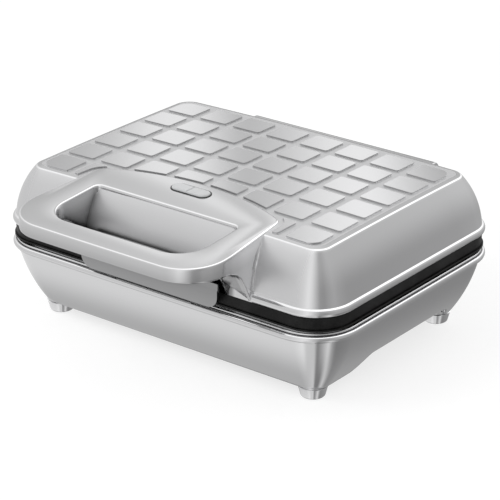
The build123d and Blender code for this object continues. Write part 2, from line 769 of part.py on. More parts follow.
# Upper waffle plate
pits, pegs = waffle_pits(skirt_z + cavity_depth, skirt_z)
upper_plate = slab(plate_half_width, plate_half_depth, plate_corner, skirt_z, lid_z)
upper_body = slab(
    plate_half_width - wall - 0.8,
    plate_half_depth - wall - 0.8,
    plate_corner - wall - 0.8,
    lid_z,
    upper_floor_z,
)
upper_plate = (upper_plate + upper_body) - pits
upper_plate = upper_plate.fuse(*pegs)
upper_screws = []
for x, y in four(post_x, post_y):
    upper_plate = upper_plate - rod_z(1.7, x, y, upper_floor_z - plate_floor - 1, upper_floor_z + 1)
    upper_plate = upper_plate - rod_z(3.4, x, y, upper_floor_z - plate_floor - 1, upper_floor_z - plate_floor + 1.8)
    upper_screws.append(Pos(x, y, upper_floor_z - plate_floor) * screw(3.2, 1.8, 14, 1.5))
parts["upper_plate"] = upper_plate
parts["upper_plate_screws"] = Compound(children=upper_screws)


def heater(z):
    """Bent tube with a thinner terminal at each end."""
    points = [
        (-heater_leg_x, heater_end_y, z),
        (-heater_leg_x, heater_half_y, z),
        (-heater_half_x, heater_half_y, z),
        (-heater_half_x, -heater_half_y, z),
        (heater_half_x, -heater_half_y, z),
        (heater_half_x, heater_half_y, z),
        (heater_leg_x, heater_half_y, z),
        (heater_leg_x, heater_end_y, z),
    ]
    tube = tube_path(points, heater_bend, heater_radius)
    for side in (-1, 1):
        tube = tube + rod_y(1.3, side * heater_leg_x, heater_end_y - 1, heater_end_y + 7, z)
    return tube


def heater_clip(seat_z, up):
    """Saddle over the tube with a foot on each side, along Y; up points away from the plate."""
    outer = heater_radius + 1.0
    edge = outer + 8
    side = at_plan(
        [
            (-edge, 0),
            (-edge, 1.0),
            (-outer, 1.0),
            (-outer, heater_radius),
            ((0, heater_radius + outer), (outer, heater_radius)),
            (outer, 1.0),
            (edge, 1.0),
            (edge, 0),
            (heater_radius, 0),
            (heater_radius, heater_radius),
            ((0, 2 * heater_radius), (-heater_radius, heater_radius)),
            (-heater_radius, 0),
        ]
    )
    clip = extrude(Plane.XZ * side, amount=5, both=True)
    for end in (-1, 1):
        clip = clip - rod_z(1.5, end * (outer + 4), 0, -1, 3)
    if up < 0:
        clip = Rot(180, 0, 0) * clip
    return Pos(0, 0, seat_z) * clip


def clip_places():
    """Places of the heater clips and how far each is turned."""
    return [
        (-heater_half_x, 0, 0),
        (heater_half_x, 0, 0),
        (-heater_half_x / 2, -heater_half_y, 90),
        (heater_half_x / 2, -heater_half_y, 90),
    ]


def pan(seat_z, up):
    """Folded heat shield whose rim stands on the plate."""
    far = seat_z + up * pan_depth
    low, high = sorted((seat_z, far))
    outer = slab(pan_half_width, pan_half_depth, pan_corner, low, high)
    inner_low, inner_high = sorted((seat_z - up, far - up * pan_sheet))
    inner = slab(
        pan_half_width - pan_sheet,
        pan_half_depth - pan_sheet,
        pan_corner - pan_sheet,
        inner_low,
        inner_high,
    )
    tray = outer - inner
    for side in (-1, 1):
        slot = Pos(side * heater_leg_x, pan_half_depth, seat_z + up * 4) * Box(8.4, 8, 8.4)
        tray = tray - slot
    return tray


for half, seat, up in (("lower", lower_floor_z, -1), ("upper", upper_floor_z, 1)):
    parts[f"{half}_heater"] = heater(seat + up * heater_radius)
    clips = []
    screws = []
    for x, y, turn in clip_places():
        clips.append(Pos(x, y, 0) * Rot(0, 0, turn) * heater_clip(seat, up))
        for end in (-1, 1):
            reach = end * (heater_radius + 5)
            sx = x + (reach if turn == 0 else 0)
            sy = y + (reach if turn == 90 else 0)
            body = screw(2.6, 1.4, 5.4, 1.4)
            if up > 0:
                body = Rot(180, 0, 0) * body
            screws.append(Pos(sx, sy, seat + up * 2.4) * body)
            plate_name = f"{half}_plate"
            low, high = sorted((seat, seat - up * 3.2))
            parts[plate_name] = parts[plate_name] - rod_z(1.4, sx, sy, low, high)
    parts[f"{half}_heater_clips"] = Compound(children=clips)
    parts[f"{half}_clip_screws"] = Compound(children=screws)
    parts[f"{half}_heat_shield"] = pan(seat, up)

# Thermostat, pressed on the lower plate through the heat shield
thermostat = rod_z(8.5, 0, 0, lower_floor_z - 9, lower_floor_z)
thermostat = thermostat + rod_z(10.5, 0, 0, lower_floor_z - 1.2, lower_floor_z)
for side in (-1, 1):
    thermostat = thermostat + Pos(side * 4.2, 0, lower_floor_z - 12) * Box(0.8, 6, 6.4)
parts["lower_heat_shield"] = parts["lower_heat_shield"] - rod_z(
    9.2, 0, 0, lower_floor_z - pan_depth - 1, lower_floor_z - pan_depth + 2
)
parts["thermostat"] = thermostat

# Thermal fuse under the heat shield, in its bracket
shield_low = lower_floor_z - pan_depth
fuse_x = 40.0
fuse = rod_y(2.0, fuse_x, -9, 9, shield_low - 2.0)
fuse = fuse + rod_y(0.6, fuse_x, -15, 15, shield_low - 2.0)
parts["thermal_fuse"] = fuse

# Terminal block on the bottom cover
block_y = 66.0
block_height = 8.4
block = Pos(0, block_y, cover_top_z) * extrude(RectangleRounded(30, 12, 1.5), amount=block_height)
lead_z = cover_top_z + 4.2
for x in (-10, 0, 10):
    block = block - rod_y(1.3, x, block_y - 7, block_y + 7, lead_z)
    block = block - rod_z(1.6, x, block_y, lead_z, cover_top_z + block_height + 1)
parts["terminal_block"] = block
block_screws = []
for x in (-10, 0, 10):
    block_screws.append(rod_z(1.6, x, block_y, lead_z + 1.3, cover_top_z + block_height - 0.4))
parts["terminal_screws"] = Compound(children=block_screws)

# Leads inside the base
lead_radius = 1.2
block_back = block_y + 6.2
terminal_end = heater_end_y + 7.2
lower_heater_z = lower_floor_z - heater_radius
mains_lead = [
    (10, block_back, lead_z),
    (10, block_back + 6, lead_z),
    (30, block_back + 18, gland_z - 5),
    (gland_x, pedestal_back - 17, gland_z),
    (gland_x, pedestal_back - 11, gland_z),
]
base_leads = [tube_path(mains_lead, 3.0, lead_radius)]
for start_x, end_x in ((-10, -heater_leg_x), (0, heater_leg_x)):
    heater_lead = [
        (start_x, block_back, lead_z),
        (start_x, terminal_end + 9, lead_z),
        (end_x, terminal_end + 9, lower_heater_z),
        (end_x, terminal_end, lower_heater_z),
    ]
    base_leads.append(tube_path(heater_lead, 3.0, lead_radius))
parts["base_leads"] = Compound(children=base_leads)

# Leads inside the lid, from the indicator to the upper heater's ends
upper_heater_z = upper_floor_z + heater_radius
lid_leads = []
run_z = holder_top - 15
for side in (-1, 1):
    lamp_x = side * lamp_spacing / 2
    lamp_lead = [
        (lamp_x, lens_y, holder_top - 11),
        (lamp_x, lens_y, run_z),
        (lamp_x + side * 6, lens_y + 20, run_z),
        (side * heater_leg_x, heater_end_y + 2, run_z),
        (side * heater_leg_x, heater_end_y + 4.5, upper_heater_z + 1.7),
    ]
    lid_leads.append(tube_path(lamp_lead, 2.6, lead_radius))
parts["lid_leads"] = Compound(children=lid_leads)

# Latch: a flap with a finger tab, turning on a pin between the handle's webs
flap_in = latch_pivot_y - latch_flap_offset
flap_out = flap_in - latch_flap_thickness
flap_low = rim_top_z + 1.1
flap = across(
    [
        (flap_in, flap_low),
        (flap_in, latch_pivot_z),
        (flap_out, latch_pivot_z),
        (flap_out, lid_z + 4),
        (flap_out - 0.7, lid_z + 3),
        (flap_out - 0.7, flap_low),
    ],
    latch_half_width,
)
flap_plan = RectangleRounded(2 * latch_half_width, 2 * (latch_pivot_z - flap_low) + 10, latch_corner_round)
flap_mask = Plane(origin=(0, flap_out - 6, latch_pivot_z + 5), x_dir=(1, 0, 0), z_dir=(0, 1, 0)) * flap_plan
flap = flap & extrude(flap_mask, amount=14)
for side in (-1, 1):
    notch = Pos(side * latch_half_width, flap_in, latch_pivot_z) * Box(2 * (latch_half_width - latch_barrel_half), 12, 11)
    flap = flap - notch
barrel = rod_x(latch_barrel_radius, -latch_barrel_half, latch_barrel_half, latch_pivot_y, latch_pivot_z)
tab_tip = latch_pivot_y - latch_tab_reach
tab = across(
    [
        (flap_out + 0.5, latch_pivot_z + 1.5),
        (tab_tip + 2, latch_pivot_z - 1.2),
        ((tab_tip, latch_pivot_z - 2.6), (tab_tip + 2, latch_pivot_z - 4.0)),
        (flap_out + 0.5, latch_pivot_z - 7.5),
    ],
    latch_tab_half,
)
latch = flap + barrel + tab
latch = latch - rod_x(latch_pin_radius + running_gap, -latch_half_width - 1, latch_half_width + 1, latch_pivot_y, latch_pivot_z)
hook_top = flange_z - 0.25
hook_seat = Pos(0, flap_in - hook_thickness / 2, (flap_low + hook_top) / 2 + 4) * Box(2 * hook_half_width, hook_thickness, 12)
latch = latch - hook_seat
latch = latch - across(
    [(flap_in - hook_thickness, hook_top - hook_thickness), (flap_in + 1, hook_top - hook_thickness),
     (flap_in + 1, hook_top + 8), (flap_in - hook_thickness, hook_top + 8)],
    hook_half_width,
)
parts["latch"] = latch
hook_tip = -(plate_half_depth + 0.9) + hook_engagement
hook = across(
    [
        (flap_in - hook_thickness, hook_top - hook_thickness),
        (hook_tip, hook_top - hook_thickness),
        (hook_tip, hook_top),
        (flap_in, hook_top),
        (flap_in, hook_top + 8),
        (flap_in - hook_thickness, hook_top + 8),
    ],
    hook_half_width,
)
parts["latch_hook"] = hook
parts["latch_pin"] = rod_x(latch_pin_radius, -pin_end, pin_end, latch_pivot_y, latch_pivot_z)

# Torsion spring on the pin, between the latch and the handle's web
spring_wire = 0.45
spring_turns = 4
spring_pitch = 1.05
spring_radius = latch_pin_radius + spring_wire + 0.25
spring_start = latch_barrel_half + 1.1
coil = Helix(pitch=spring_pitch, height=spring_pitch * spring_turns, radius=spring_radius)
coil_section = Plane(origin=coil @ 0, z_dir=coil % 0) * Circle(spring_wire)
spring = sweep(coil_section, path=coil)
parts["latch_spring"] = Pos(spring_start, latch_pivot_y, latch_pivot_z) * Rot(0, 90, 0) * spring

origin_shift = -(handle_front + pedestal_back + gland_lip) / 2
os.makedirs("parts", exist_ok=True)
for name, shape in parts.items():
    shape = Pos(0, origin_shift, 0) * shape
    export_step(shape, f"parts/{name}.step")
    box = shape.bounding_box()
    print(name, len(shape.solids()), "solids", round(shape.volume / 1000, 2), "cm3", box.min, box.max)
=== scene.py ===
import json
import math

import bmesh
import bpy
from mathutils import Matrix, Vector

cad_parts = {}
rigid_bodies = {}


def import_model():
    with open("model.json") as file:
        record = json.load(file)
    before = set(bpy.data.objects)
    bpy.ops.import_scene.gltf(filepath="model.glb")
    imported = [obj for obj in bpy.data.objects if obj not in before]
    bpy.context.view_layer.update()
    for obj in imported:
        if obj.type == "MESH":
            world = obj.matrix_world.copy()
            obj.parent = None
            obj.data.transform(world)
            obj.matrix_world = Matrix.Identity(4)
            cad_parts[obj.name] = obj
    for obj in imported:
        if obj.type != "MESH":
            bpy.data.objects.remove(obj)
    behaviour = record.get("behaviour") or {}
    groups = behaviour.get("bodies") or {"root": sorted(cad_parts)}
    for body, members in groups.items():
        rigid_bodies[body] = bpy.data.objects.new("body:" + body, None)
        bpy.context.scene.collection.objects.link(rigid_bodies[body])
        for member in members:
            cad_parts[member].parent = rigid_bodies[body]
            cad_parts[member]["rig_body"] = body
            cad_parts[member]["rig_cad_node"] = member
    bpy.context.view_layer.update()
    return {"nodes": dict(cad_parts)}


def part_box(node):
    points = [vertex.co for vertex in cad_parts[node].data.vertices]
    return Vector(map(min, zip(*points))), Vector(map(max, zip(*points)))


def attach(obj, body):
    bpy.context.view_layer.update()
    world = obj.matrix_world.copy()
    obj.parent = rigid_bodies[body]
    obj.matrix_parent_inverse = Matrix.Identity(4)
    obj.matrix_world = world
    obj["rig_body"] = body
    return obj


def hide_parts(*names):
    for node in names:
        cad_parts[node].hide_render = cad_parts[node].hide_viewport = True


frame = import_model()
nodes = frame["nodes"]
print("frame loaded:", len(nodes), "nodes")

mm = 0.001
plateLow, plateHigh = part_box("lower_plate")
middleY = (plateLow.y + plateHigh.y) / 2  # the plates' middle lies behind the origin

# Small helpers for outlines and meshes

def smooth(t):
    t = max(0.0, min(1.0, t))
    return t * t * (3 - 2 * t)


def grey4(level, tint=0.0):
    return (level, level, level * (1 + tint), 1)


def placed(points):
    # points in mm, with y from the plates' middle, as vectors in the shared frame
    return [Vector((x * mm, middleY + y * mm, z * mm)) for x, y, z in points]


def newObject(name, shape=((), ())):
    vertices, faces = shape
    mesh = bpy.data.meshes.new(name)
    mesh.from_pydata([tuple(v) for v in vertices], [], faces)
    made = bpy.data.objects.new(name, mesh)
    bpy.context.scene.collection.objects.link(made)
    return made


def shadeSmooth(mesh, sharp):
    mesh.polygons.foreach_set("use_smooth", [True] * len(mesh.polygons))
    mesh.set_sharp_from_angle(angle=math.radians(sharp))


def paint(piece, material):
    piece.data.materials.clear()
    piece.data.materials.append(material)


def newPiece(name, shape, body, finishKey, replaced=(), slot=None, sharp=35):
    piece = newObject(name, shape)
    piece.data.validate()
    shadeSmooth(piece.data, sharp)
    paint(piece, finishes[finishKey])
    return register(piece, body, replaced)


def register(piece, body, replaced=()):
    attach(piece, body)
    if replaced:
        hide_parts(*replaced)
    return piece


def roundEdges(piece, width, segments, angle, harden=True):
    # rounds the edges sharper than the angle, and makes the piece a plain mesh
    rounding = piece.modifiers.new("edges", "BEVEL")
    rounding.width = width * mm
    rounding.segments = segments
    rounding.limit_method = "ANGLE"
    rounding.angle_limit = math.radians(angle)
    rounding.harden_normals = harden
    graph = bpy.context.evaluated_depsgraph_get()
    result = bpy.data.meshes.new_from_object(piece.evaluated_get(graph))
    piece.modifiers.clear()
    piece.data = result


def mergeClose(piece, distance=0.00001):
    work = bmesh.new()
    work.from_mesh(piece.data)
    bmesh.ops.remove_doubles(work, verts=work.verts, dist=distance)
    bmesh.ops.recalc_face_normals(work, faces=work.faces)
    work.to_mesh(piece.data)
    work.free()
    shadeSmooth(piece.data, 40)


def arc(cx, cy, radius, start, end, count):
    points = []
    for i in range(count + 1):
        a = math.radians(start + (end - start) * i / count)
        points.append((cx + radius * math.cos(a), cy + radius * math.sin(a)))
    return points


def roundedCorner(before, corner, after, radius, count):
    # points of the arc that rounds one corner of a polyline
    p, c, n = Vector(before), Vector(corner), Vector(after)
    a, b = (p - c).normalized(), (n - c).normalized()
    half = a.angle(b) / 2
    centre = c + (a + b).normalized() * radius / math.sin(half)
    start, end = c + a * radius / math.tan(half), c + b * radius / math.tan(half)
    points = []
    for i in range(count + 1):
        step = (start - centre).normalized().slerp((end - centre).normalized(), i / count)
        points.append(tuple(centre + step * radius))
    return points


def roundedRing(halfWidth, halfDepth, corner, cornerSteps, frontStops=(), sideStops=()):
    # (x, y, outward x, outward y) round a rounded rectangle, counter-clockwise
    runX, runY = halfWidth - corner, halfDepth - corner
    ring = []
    frontX = sorted({-runX, runX, *frontStops, *(-x for x in frontStops)})
    sideY = sorted({-runY, runY, *sideStops})
    ring += [(x, -halfDepth, 0, -1) for x in frontX[1:-1]]
    for turn, cx, cy in ((-90, runX, -runY), (0, runX, runY), (90, -runX, runY), (180, -runX, -runY)):
        for i in range(cornerSteps + 1):
            a = math.radians(turn + 90 * i / cornerSteps)
            ring.append((cx + corner * math.cos(a), cy + corner * math.sin(a), math.cos(a), math.sin(a)))
        if turn == -90:
            ring += [(halfWidth, y, 1, 0) for y in sideY[1:-1]]
        if turn == 0:
            ring += [(x, halfDepth, 0, 1) for x in reversed(frontX[1:-1])]
        if turn == 90:
            ring += [(-halfWidth, y, -1, 0) for y in reversed(sideY[1:-1])]
    return ring


def loft(rows, closed=True, capEnds=(False, False)):
    # rows of equally many points, joined by quads
    vertices, faces = [], []
    count = len(rows[0])
    for row in rows:
        vertices += row
    last = count if closed else count - 1
    for r in range(len(rows) - 1):
        for i in range(last):
            j = (i + 1) % count
            faces.append((r * count + i, r * count + j, (r + 1) * count + j, (r + 1) * count + i))
    if capEnds[0]:
        faces.append(tuple(reversed(range(count))))
    if capEnds[1]:
        faces.append(tuple(range((len(rows) - 1) * count, len(rows) * count)))
    return vertices, faces


def extrusion(name, outline, halfX, body, finishKey, bevel, slot, centreX=0.0):
    # solid of a (y, z) outline in mm, along X, with rounded edges
    rows = [placed((x, y, z) for y, z in outline) for x in (centreX - halfX, centreX + halfX)]
    shape = loft(rows, True, (True, True))
    piece = newPiece(name, shape, body, finishKey, slot=slot, sharp=30)
    roundEdges(piece, bevel, 4, 40)


# Node helpers

def nodeTools(tree):
    # inputs are plain values, sockets, or nodes, whose first output is taken
    def add(kind, inputs=None, **settings):
        node = tree.nodes.new(kind)
        for key, value in settings.items():
            setattr(node, key, value)
        for key, value in (inputs or {}).items():
            if isinstance(value, bpy.types.Node):
                value = value.outputs[0]
            if isinstance(value, bpy.types.NodeSocket):
                tree.links.new(value, node.inputs[key])
            else:
                node.inputs[key].default_value = value
        return node

    return add


def mathNode(add, operation, first, second=None, third=None):
    inputs = {0: first}
    if second is not None:
        inputs[1] = second
    if third is not None:
        inputs[2] = third
    return add("ShaderNodeMath", inputs, operation=operation).outputs[0]


def mapRange(add, value, start, full, low=0.0, high=1.0, kind="SMOOTHSTEP"):
    inputs = {"Value": value, "From Min": start, "From Max": full, "To Min": low, "To Max": high}
    return add("ShaderNodeMapRange", inputs, interpolation_type=kind).outputs[0]


def axesOf(add, kind, output):
    # x, y and z of a place or a normal
    return add("ShaderNodeSeparateXYZ", {0: add(kind).outputs[output]}).outputs


def newGroup(name, kind, inputs, outputs):
    # a group with its named sockets, the tool that adds its nodes, and its inputs
    tree = bpy.data.node_groups.new(name, kind)
    for label, form, value in inputs:
        socket = tree.interface.new_socket(label, in_out="INPUT", socket_type="NodeSocket" + form)
        if value is not None:
            socket.default_value = value
    for label, form in outputs:
        tree.interface.new_socket(label, in_out="OUTPUT", socket_type="NodeSocket" + form)
    add = nodeTools(tree)
    return tree, add, add("NodeGroupInput").outputs


def newMaterial(name):
    material = bpy.data.materials.new(name)
    material.use_nodes = True
    material.node_tree.nodes.clear()
    return material, nodeTools(material.node_tree)


# Camera at the photograph's angle
camera = {
    "place": (0.81867, middleY - 1.05639, 0.62355),
    "azimuth": 37.712,
    "elevation": 23.365,
    "lens": 160.98,
    "sensor": 36.0,
}
cameraData = bpy.data.cameras.new("studioCamera")
cameraData.lens = camera["lens"]
cameraData.sensor_width = camera["sensor"]
cameraData.sensor_fit = "AUTO"
cameraObject = bpy.data.objects.new("studioCamera", cameraData)
cameraObject.location = camera["place"]
cameraObject.rotation_euler = (math.radians(90 - camera["elevation"]), 0, math.radians(camera["azimuth"]))
bpy.context.scene.collection.objects.link(cameraObject)
bpy.context.scene.camera = cameraObject
bpy.context.scene.view_settings.view_transform = "Standard"

# Studio: a light tent. Levels are read by the half-way direction between a ray and the sight line,
# in degrees from the front towards the right, so each card lights one side of the object
studio = {
    "sight": (0.561, -0.726, 0.397),
    "walls": [
        (-180, 0.5), (-90, 0.62), (-40, 0.72), (10, 0.74), (19, 0.84), (26, 1.0), (31, 0.88), (37, 0.62),
        (43, 0.38), (49, 0.35), (56, 0.42), (64, 0.47), (74, 0.42), (90, 0.37), (92.1, 0.37), (93.1, 0.44),
        (96, 0.47), (130, 0.42), (180, 0.5),
    ],
    "highWalls": [
        (-180, 0.5), (-90, 0.62), (-40, 0.74), (10, 0.78), (19, 0.87), (26, 1.0), (31, 0.9), (37, 0.7),
        (43, 0.5), (49, 0.48), (56, 0.54), (64, 0.58), (74, 0.57), (92, 0.57), (93.2, 0.68), (96, 0.7),
        (130, 0.6), (180, 0.5),
    ],
    "lowWalls": [
        (-180, 0.5), (-90, 0.7), (-40, 0.84), (12, 0.84), (24, 0.98), (29, 0.72), (38, 0.7), (41.5, 0.24),
        (47, 0.46), (55, 0.82), (60, 0.4), (65, 0.24), (90, 0.29), (140, 0.3), (180, 0.5),
    ],
    "footWalls": [
        (-180, 0.3), (-90, 0.4), (-40, 0.5), (14, 0.52), (24, 0.6), (38, 0.74), (41.5, 0.24),
        (49, 0.24), (57, 0.72), (62, 0.5), (67, 0.3), (90, 0.38), (140, 0.36), (180, 0.3),
    ],
    "margins": [
        (-180, 0.46), (-90, 0.46), (-45, 0.6), (0, 0.8), (40, 0.78), (90, 0.66), (125, 0.55),
        (155, 0.46), (180, 0.46),
    ],
    "edges": [
        (-180, 0.4), (-90, 0.5), (-45, 0.9), (-5, 1.25), (24, 1.35), (40, 1.6), (90, 1.65), (125, 1.2),
        (155, 0.5), (180, 0.4),
    ],
    "top": [
        (-180, 0.8), (-150.5, 0.62), (-148.6, 0.8), (-147.4, 1.06), (-146.3, 1.14), (-145.2, 1.06),
        (-144.2, 0.88), (-143.2, 0.7), (-142.3, 0.54), (-141.8, 0.56), (-141, 0.86), (-140.4, 1.1),
        (-139.7, 1.16), (-139, 0.98), (-138.2, 0.8), (-136, 0.77), (-100, 0.8), (180, 0.8),
    ],
    "underside": 0.1,
    # each ramp blends over the one before it, between these rises of the half-way direction
    "bands": {
        "footWalls": (-0.85, -0.6), "lowWalls": (-0.55, -0.25), "walls": (-0.15, 0.02),
        "highWalls": (0.24, 0.6), "edges": (0.64, 0.74), "margins": (0.9, 0.95), "top": (0.989, 0.997),
    },
    "background": 1.0,
    "diffuseLevel": 0.8,
    "floorHalf": 6,
    "floorColor": 0.3,
    "floorGlow": 0.76,
    "key": {"place": (-0.7, -1.1, 1.35), "size": 0.9, "power": 9.0},
}
world = bpy.data.worlds.new("studioWorld")
bpy.context.scene.world = world
world.use_nodes = True
world.node_tree.nodes.clear()
add = nodeTools(world.node_tree)
direction = add("ShaderNodeTexCoord").outputs["Generated"]


def compassTurn(vector):
    axes = add("ShaderNodeSeparateXYZ", {0: vector}).outputs
    compass = mathNode(add, "ARCTAN2", axes[0], mathNode(add, "MULTIPLY", axes[1], -1.0))
    return mathNode(add, "MULTIPLY_ADD", compass, 1 / (2 * math.pi), 0.5), axes[2]


def cardLevels(name, turn):
    # grey levels round the compass, from -180 to 180 degrees
    ramp = add("ShaderNodeValToRGB", {0: turn})
    stops = ramp.color_ramp.elements
    stops.remove(stops[0])
    points = [((degrees + 180) / 360, grey4(level)) for degrees, level in studio[name]]
    stops[0].position, stops[0].color = points[0]
    for place, color in points[1:]:
        stops.new(place).color = color
    return ramp.outputs[0]


both = add("ShaderNodeVectorMath", {0: direction, 1: studio["sight"]}, operation="ADD")
halfWay = add("ShaderNodeVectorMath", {0: both}, operation="NORMALIZE")
halfTurn, halfRise = compassTurn(halfWay)
rayTurn, _ = compassTurn(direction)
seen = add("ShaderNodeRGB").outputs[0]
seen.default_value = grey4(studio["underside"])
for name, (start, full) in studio["bands"].items():
    share = mapRange(add, halfRise, start, full)
    level = cardLevels(name, rayTurn if name == "top" else halfTurn)
    seen = add("ShaderNodeMix", {0: share, 6: seen, 7: level}, data_type="RGBA").outputs[2]
white = grey4(1.0)
rays = add("ShaderNodeLightPath")
glossy = add("ShaderNodeBackground", {0: seen, 1: 1.0})
even = add("ShaderNodeBackground", {0: white, 1: studio["diffuseLevel"]})
plain = add("ShaderNodeBackground", {0: white, 1: studio["background"]})
lit = add("ShaderNodeMixShader", {0: rays.outputs["Is Glossy Ray"], 1: even, 2: glossy})
direct = mathNode(add, "MAXIMUM", rays.outputs["Is Camera Ray"], rays.outputs["Is Transmission Ray"])
final = add("ShaderNodeMixShader", {0: direct, 1: lit, 2: plain})
add("ShaderNodeOutputWorld", {0: final})

keyData = bpy.data.lights.new("keyLight", "AREA")
keyData.size = studio["key"]["size"]
keyData.energy = studio["key"]["power"]
keyLight = bpy.data.objects.new("keyLight", keyData)
keyLight.location = studio["key"]["place"]
keyLight.rotation_euler = (-keyLight.location).to_track_quat("-Z", "Y").to_euler()
keyLight.visible_glossy = False
bpy.context.scene.collection.objects.link(keyLight)

floorEnds = (-studio["floorHalf"], studio["floorHalf"])
floor = newObject("studioFloor", loft([[Vector((x, y, 0)) for x in floorEnds] for y in floorEnds], False))
floorMaterial, add = newMaterial("paleFloor")
paper = add("ShaderNodeBsdfDiffuse", {0: grey4(studio["floorColor"])})
bright = add("ShaderNodeEmission", {0: white, 1: studio["floorGlow"]})
lifted = add("ShaderNodeAddShader", {0: paper, 1: bright})
through = add("ShaderNodeBsdfTransparent")
rays = add("ShaderNodeLightPath")
glossyRay = rays.outputs["Is Glossy Ray"]
mixed = add("ShaderNodeMixShader", {0: glossyRay, 1: lifted, 2: through})
add("ShaderNodeOutputMaterial", {0: mixed})
floor.data.materials.append(floorMaterial)
print("studio ready")

# Finishes

surfaceOutputs = (("Color", "Color"), ("Roughness", "Float"), ("Normal", "Vector"))


def lacquerGroup():
    # fine metallic lacquer: tiny flakes in the colour, soft clouding in the gloss, faint orange peel
    tree, add, given = newGroup("metallicLacquer", "ShaderNodeTree", (
        ("Base", "Color", grey4(0.62)), ("Flake Size", "Float", 4200.0), ("Flake Contrast", "Float", 0.05),
        ("Gloss", "Float", 0.11), ("Gloss Clouding", "Float", 0.03), ("Peel", "Float", 0.02),
        ("Cloud Size", "Float", 38.0), ("Peel Size", "Float", 260.0),
    ), surfaceOutputs)
    place = add("ShaderNodeTexCoord").outputs["Object"]
    flakes = add("ShaderNodeTexNoise", {"Vector": place, "Scale": given["Flake Size"], "Detail": 1.0})
    centred = mathNode(add, "SUBTRACT", flakes, 0.5)
    lift = mathNode(add, "MULTIPLY_ADD", centred, given["Flake Contrast"], 1.0)
    shade = add("ShaderNodeVectorMath", {0: given["Base"], 3: lift}, operation="SCALE")
    clouds = add("ShaderNodeTexNoise", {"Vector": place, "Scale": given["Cloud Size"], "Detail": 3.0})
    cloudy = mathNode(add, "SUBTRACT", clouds, 0.5)
    gloss = mathNode(add, "MULTIPLY_ADD", cloudy, given["Gloss Clouding"], given["Gloss"])
    peel = add("ShaderNodeTexNoise", {"Vector": place, "Scale": given["Peel Size"], "Detail": 2.0})
    bump = add("ShaderNodeBump", {"Strength": given["Peel"], "Distance": 0.0004, "Height": peel})
    add("NodeGroupOutput", {0: shade, 1: gloss, 2: bump})
    return tree


def grainGroup():
    # moulded or cast surface: two sizes of grain, in colour, gloss and height
    tree, add, given = newGroup("mouldedGrain", "ShaderNodeTree", (
        ("Base", "Color", grey4(0.03)), ("Fleck", "Color", grey4(0.06)), ("Grain Scale", "Float", 1800.0),
        ("Gloss", "Float", 0.5), ("Depth", "Float", 0.1), ("Patch Scale", "Float", 90.0),
        ("Gloss Spread", "Float", 0.2), ("Fleck From", "Float", 0.15), ("Fleck Full", "Float", 0.38),
    ), surfaceOutputs)
    place = add("ShaderNodeTexCoord").outputs["Object"]
    grain = add("ShaderNodeTexNoise", {"Vector": place, "Scale": given["Grain Scale"], "Detail": 2.0})
    patch = add("ShaderNodeTexNoise", {"Vector": place, "Scale": given["Patch Scale"], "Detail": 3.0})
    both = mathNode(add, "MULTIPLY", grain, patch)
    spread = mapRange(add, both, given["Fleck From"], given["Fleck Full"], kind="LINEAR")
    shade = add("ShaderNodeMix", {0: spread, 6: given["Base"], 7: given["Fleck"]}, data_type="RGBA")
    patchy = mathNode(add, "SUBTRACT", patch, 0.5)
    gloss = mathNode(add, "MULTIPLY_ADD", patchy, given["Gloss Spread"], given["Gloss"])
    bump = add("ShaderNodeBump", {"Strength": given["Depth"], "Distance": 0.0003, "Height": grain})
    add("NodeGroupOutput", {0: shade.outputs[2], 1: gloss, 2: bump})
    return tree


def shadeGroup():
    # soft darkening where surfaces close in on each other
    tree, add, given = newGroup("closeShade", "ShaderNodeTree", (
        ("Reach", "Float", 0.016), ("Darkest", "Float", 0.3), ("Closed", "Float", 0.25),
        ("Open", "Float", 0.8)), (("Level", "Float"),))
    clear = add("ShaderNodeAmbientOcclusion", {"Distance": given["Reach"]}, samples=8)
    openness = clear.outputs["AO"]
    level = mapRange(add, openness, given["Closed"], given["Open"], given["Darkest"], kind="LINEAR")
    add("NodeGroupOutput", {0: level})
    return tree


def satinGroup():
    # where the lid is satin: the flat of its front, behind the handle, and its top between the tiles
    limits = {"half": (0.119, 0.1), "facing": (0.6, 0.75), "height": (0.0705, 0.0725),
              "level": (0.992, 0.9985)}
    tree, add, _ = newGroup("satinAreas", "ShaderNodeTree", (), (("Mask", "Float"),))
    place = axesOf(add, "ShaderNodeTexCoord", "Object")
    normal = axesOf(add, "ShaderNodeNewGeometry", "Normal")
    across = mapRange(add, mathNode(add, "ABSOLUTE", place[0]), *limits["half"])
    facing = mapRange(add, mathNode(add, "MULTIPLY", normal[1], -1.0), *limits["facing"])
    above = mapRange(add, place[2], *limits["height"])
    front = mathNode(add, "MULTIPLY", mathNode(add, "MULTIPLY", across, facing), above)
    flat = mapRange(add, normal[2], *limits["level"])
    add("NodeGroupOutput", {0: mathNode(add, "MAXIMUM", front, flat)})
    return tree


lacquerTree, grainTree, shadeTree, satinTree = lacquerGroup(), grainGroup(), shadeGroup(), satinGroup()


def finish(name, tree, values, metallic, specular=0.5):
    material, add = newMaterial(name)
    group = add("ShaderNodeGroup", values, node_tree=tree)
    surface = add("ShaderNodeBsdfPrincipled", {
        "Base Color": group.outputs["Color"], "Roughness": group.outputs["Roughness"],
        "Normal": group.outputs["Normal"], "Metallic": metallic, "Specular IOR Level": specular,
    })
    add("ShaderNodeOutputMaterial", {0: surface})
    return material


def lacquer(name, base, gloss=0.11, flakes=0.05):
    return finish(name, lacquerTree, {"Base": base, "Gloss": gloss, "Flake Contrast": flakes}, 1.0)


def moulded(name, base, fleck, gloss, depth, grain=1800.0, metallic=0.0, specular=0.5):
    values = {"Base": base, "Fleck": fleck, "Grain Scale": grain, "Gloss": gloss, "Depth": depth}
    return finish(name, grainTree, values, metallic, specular)


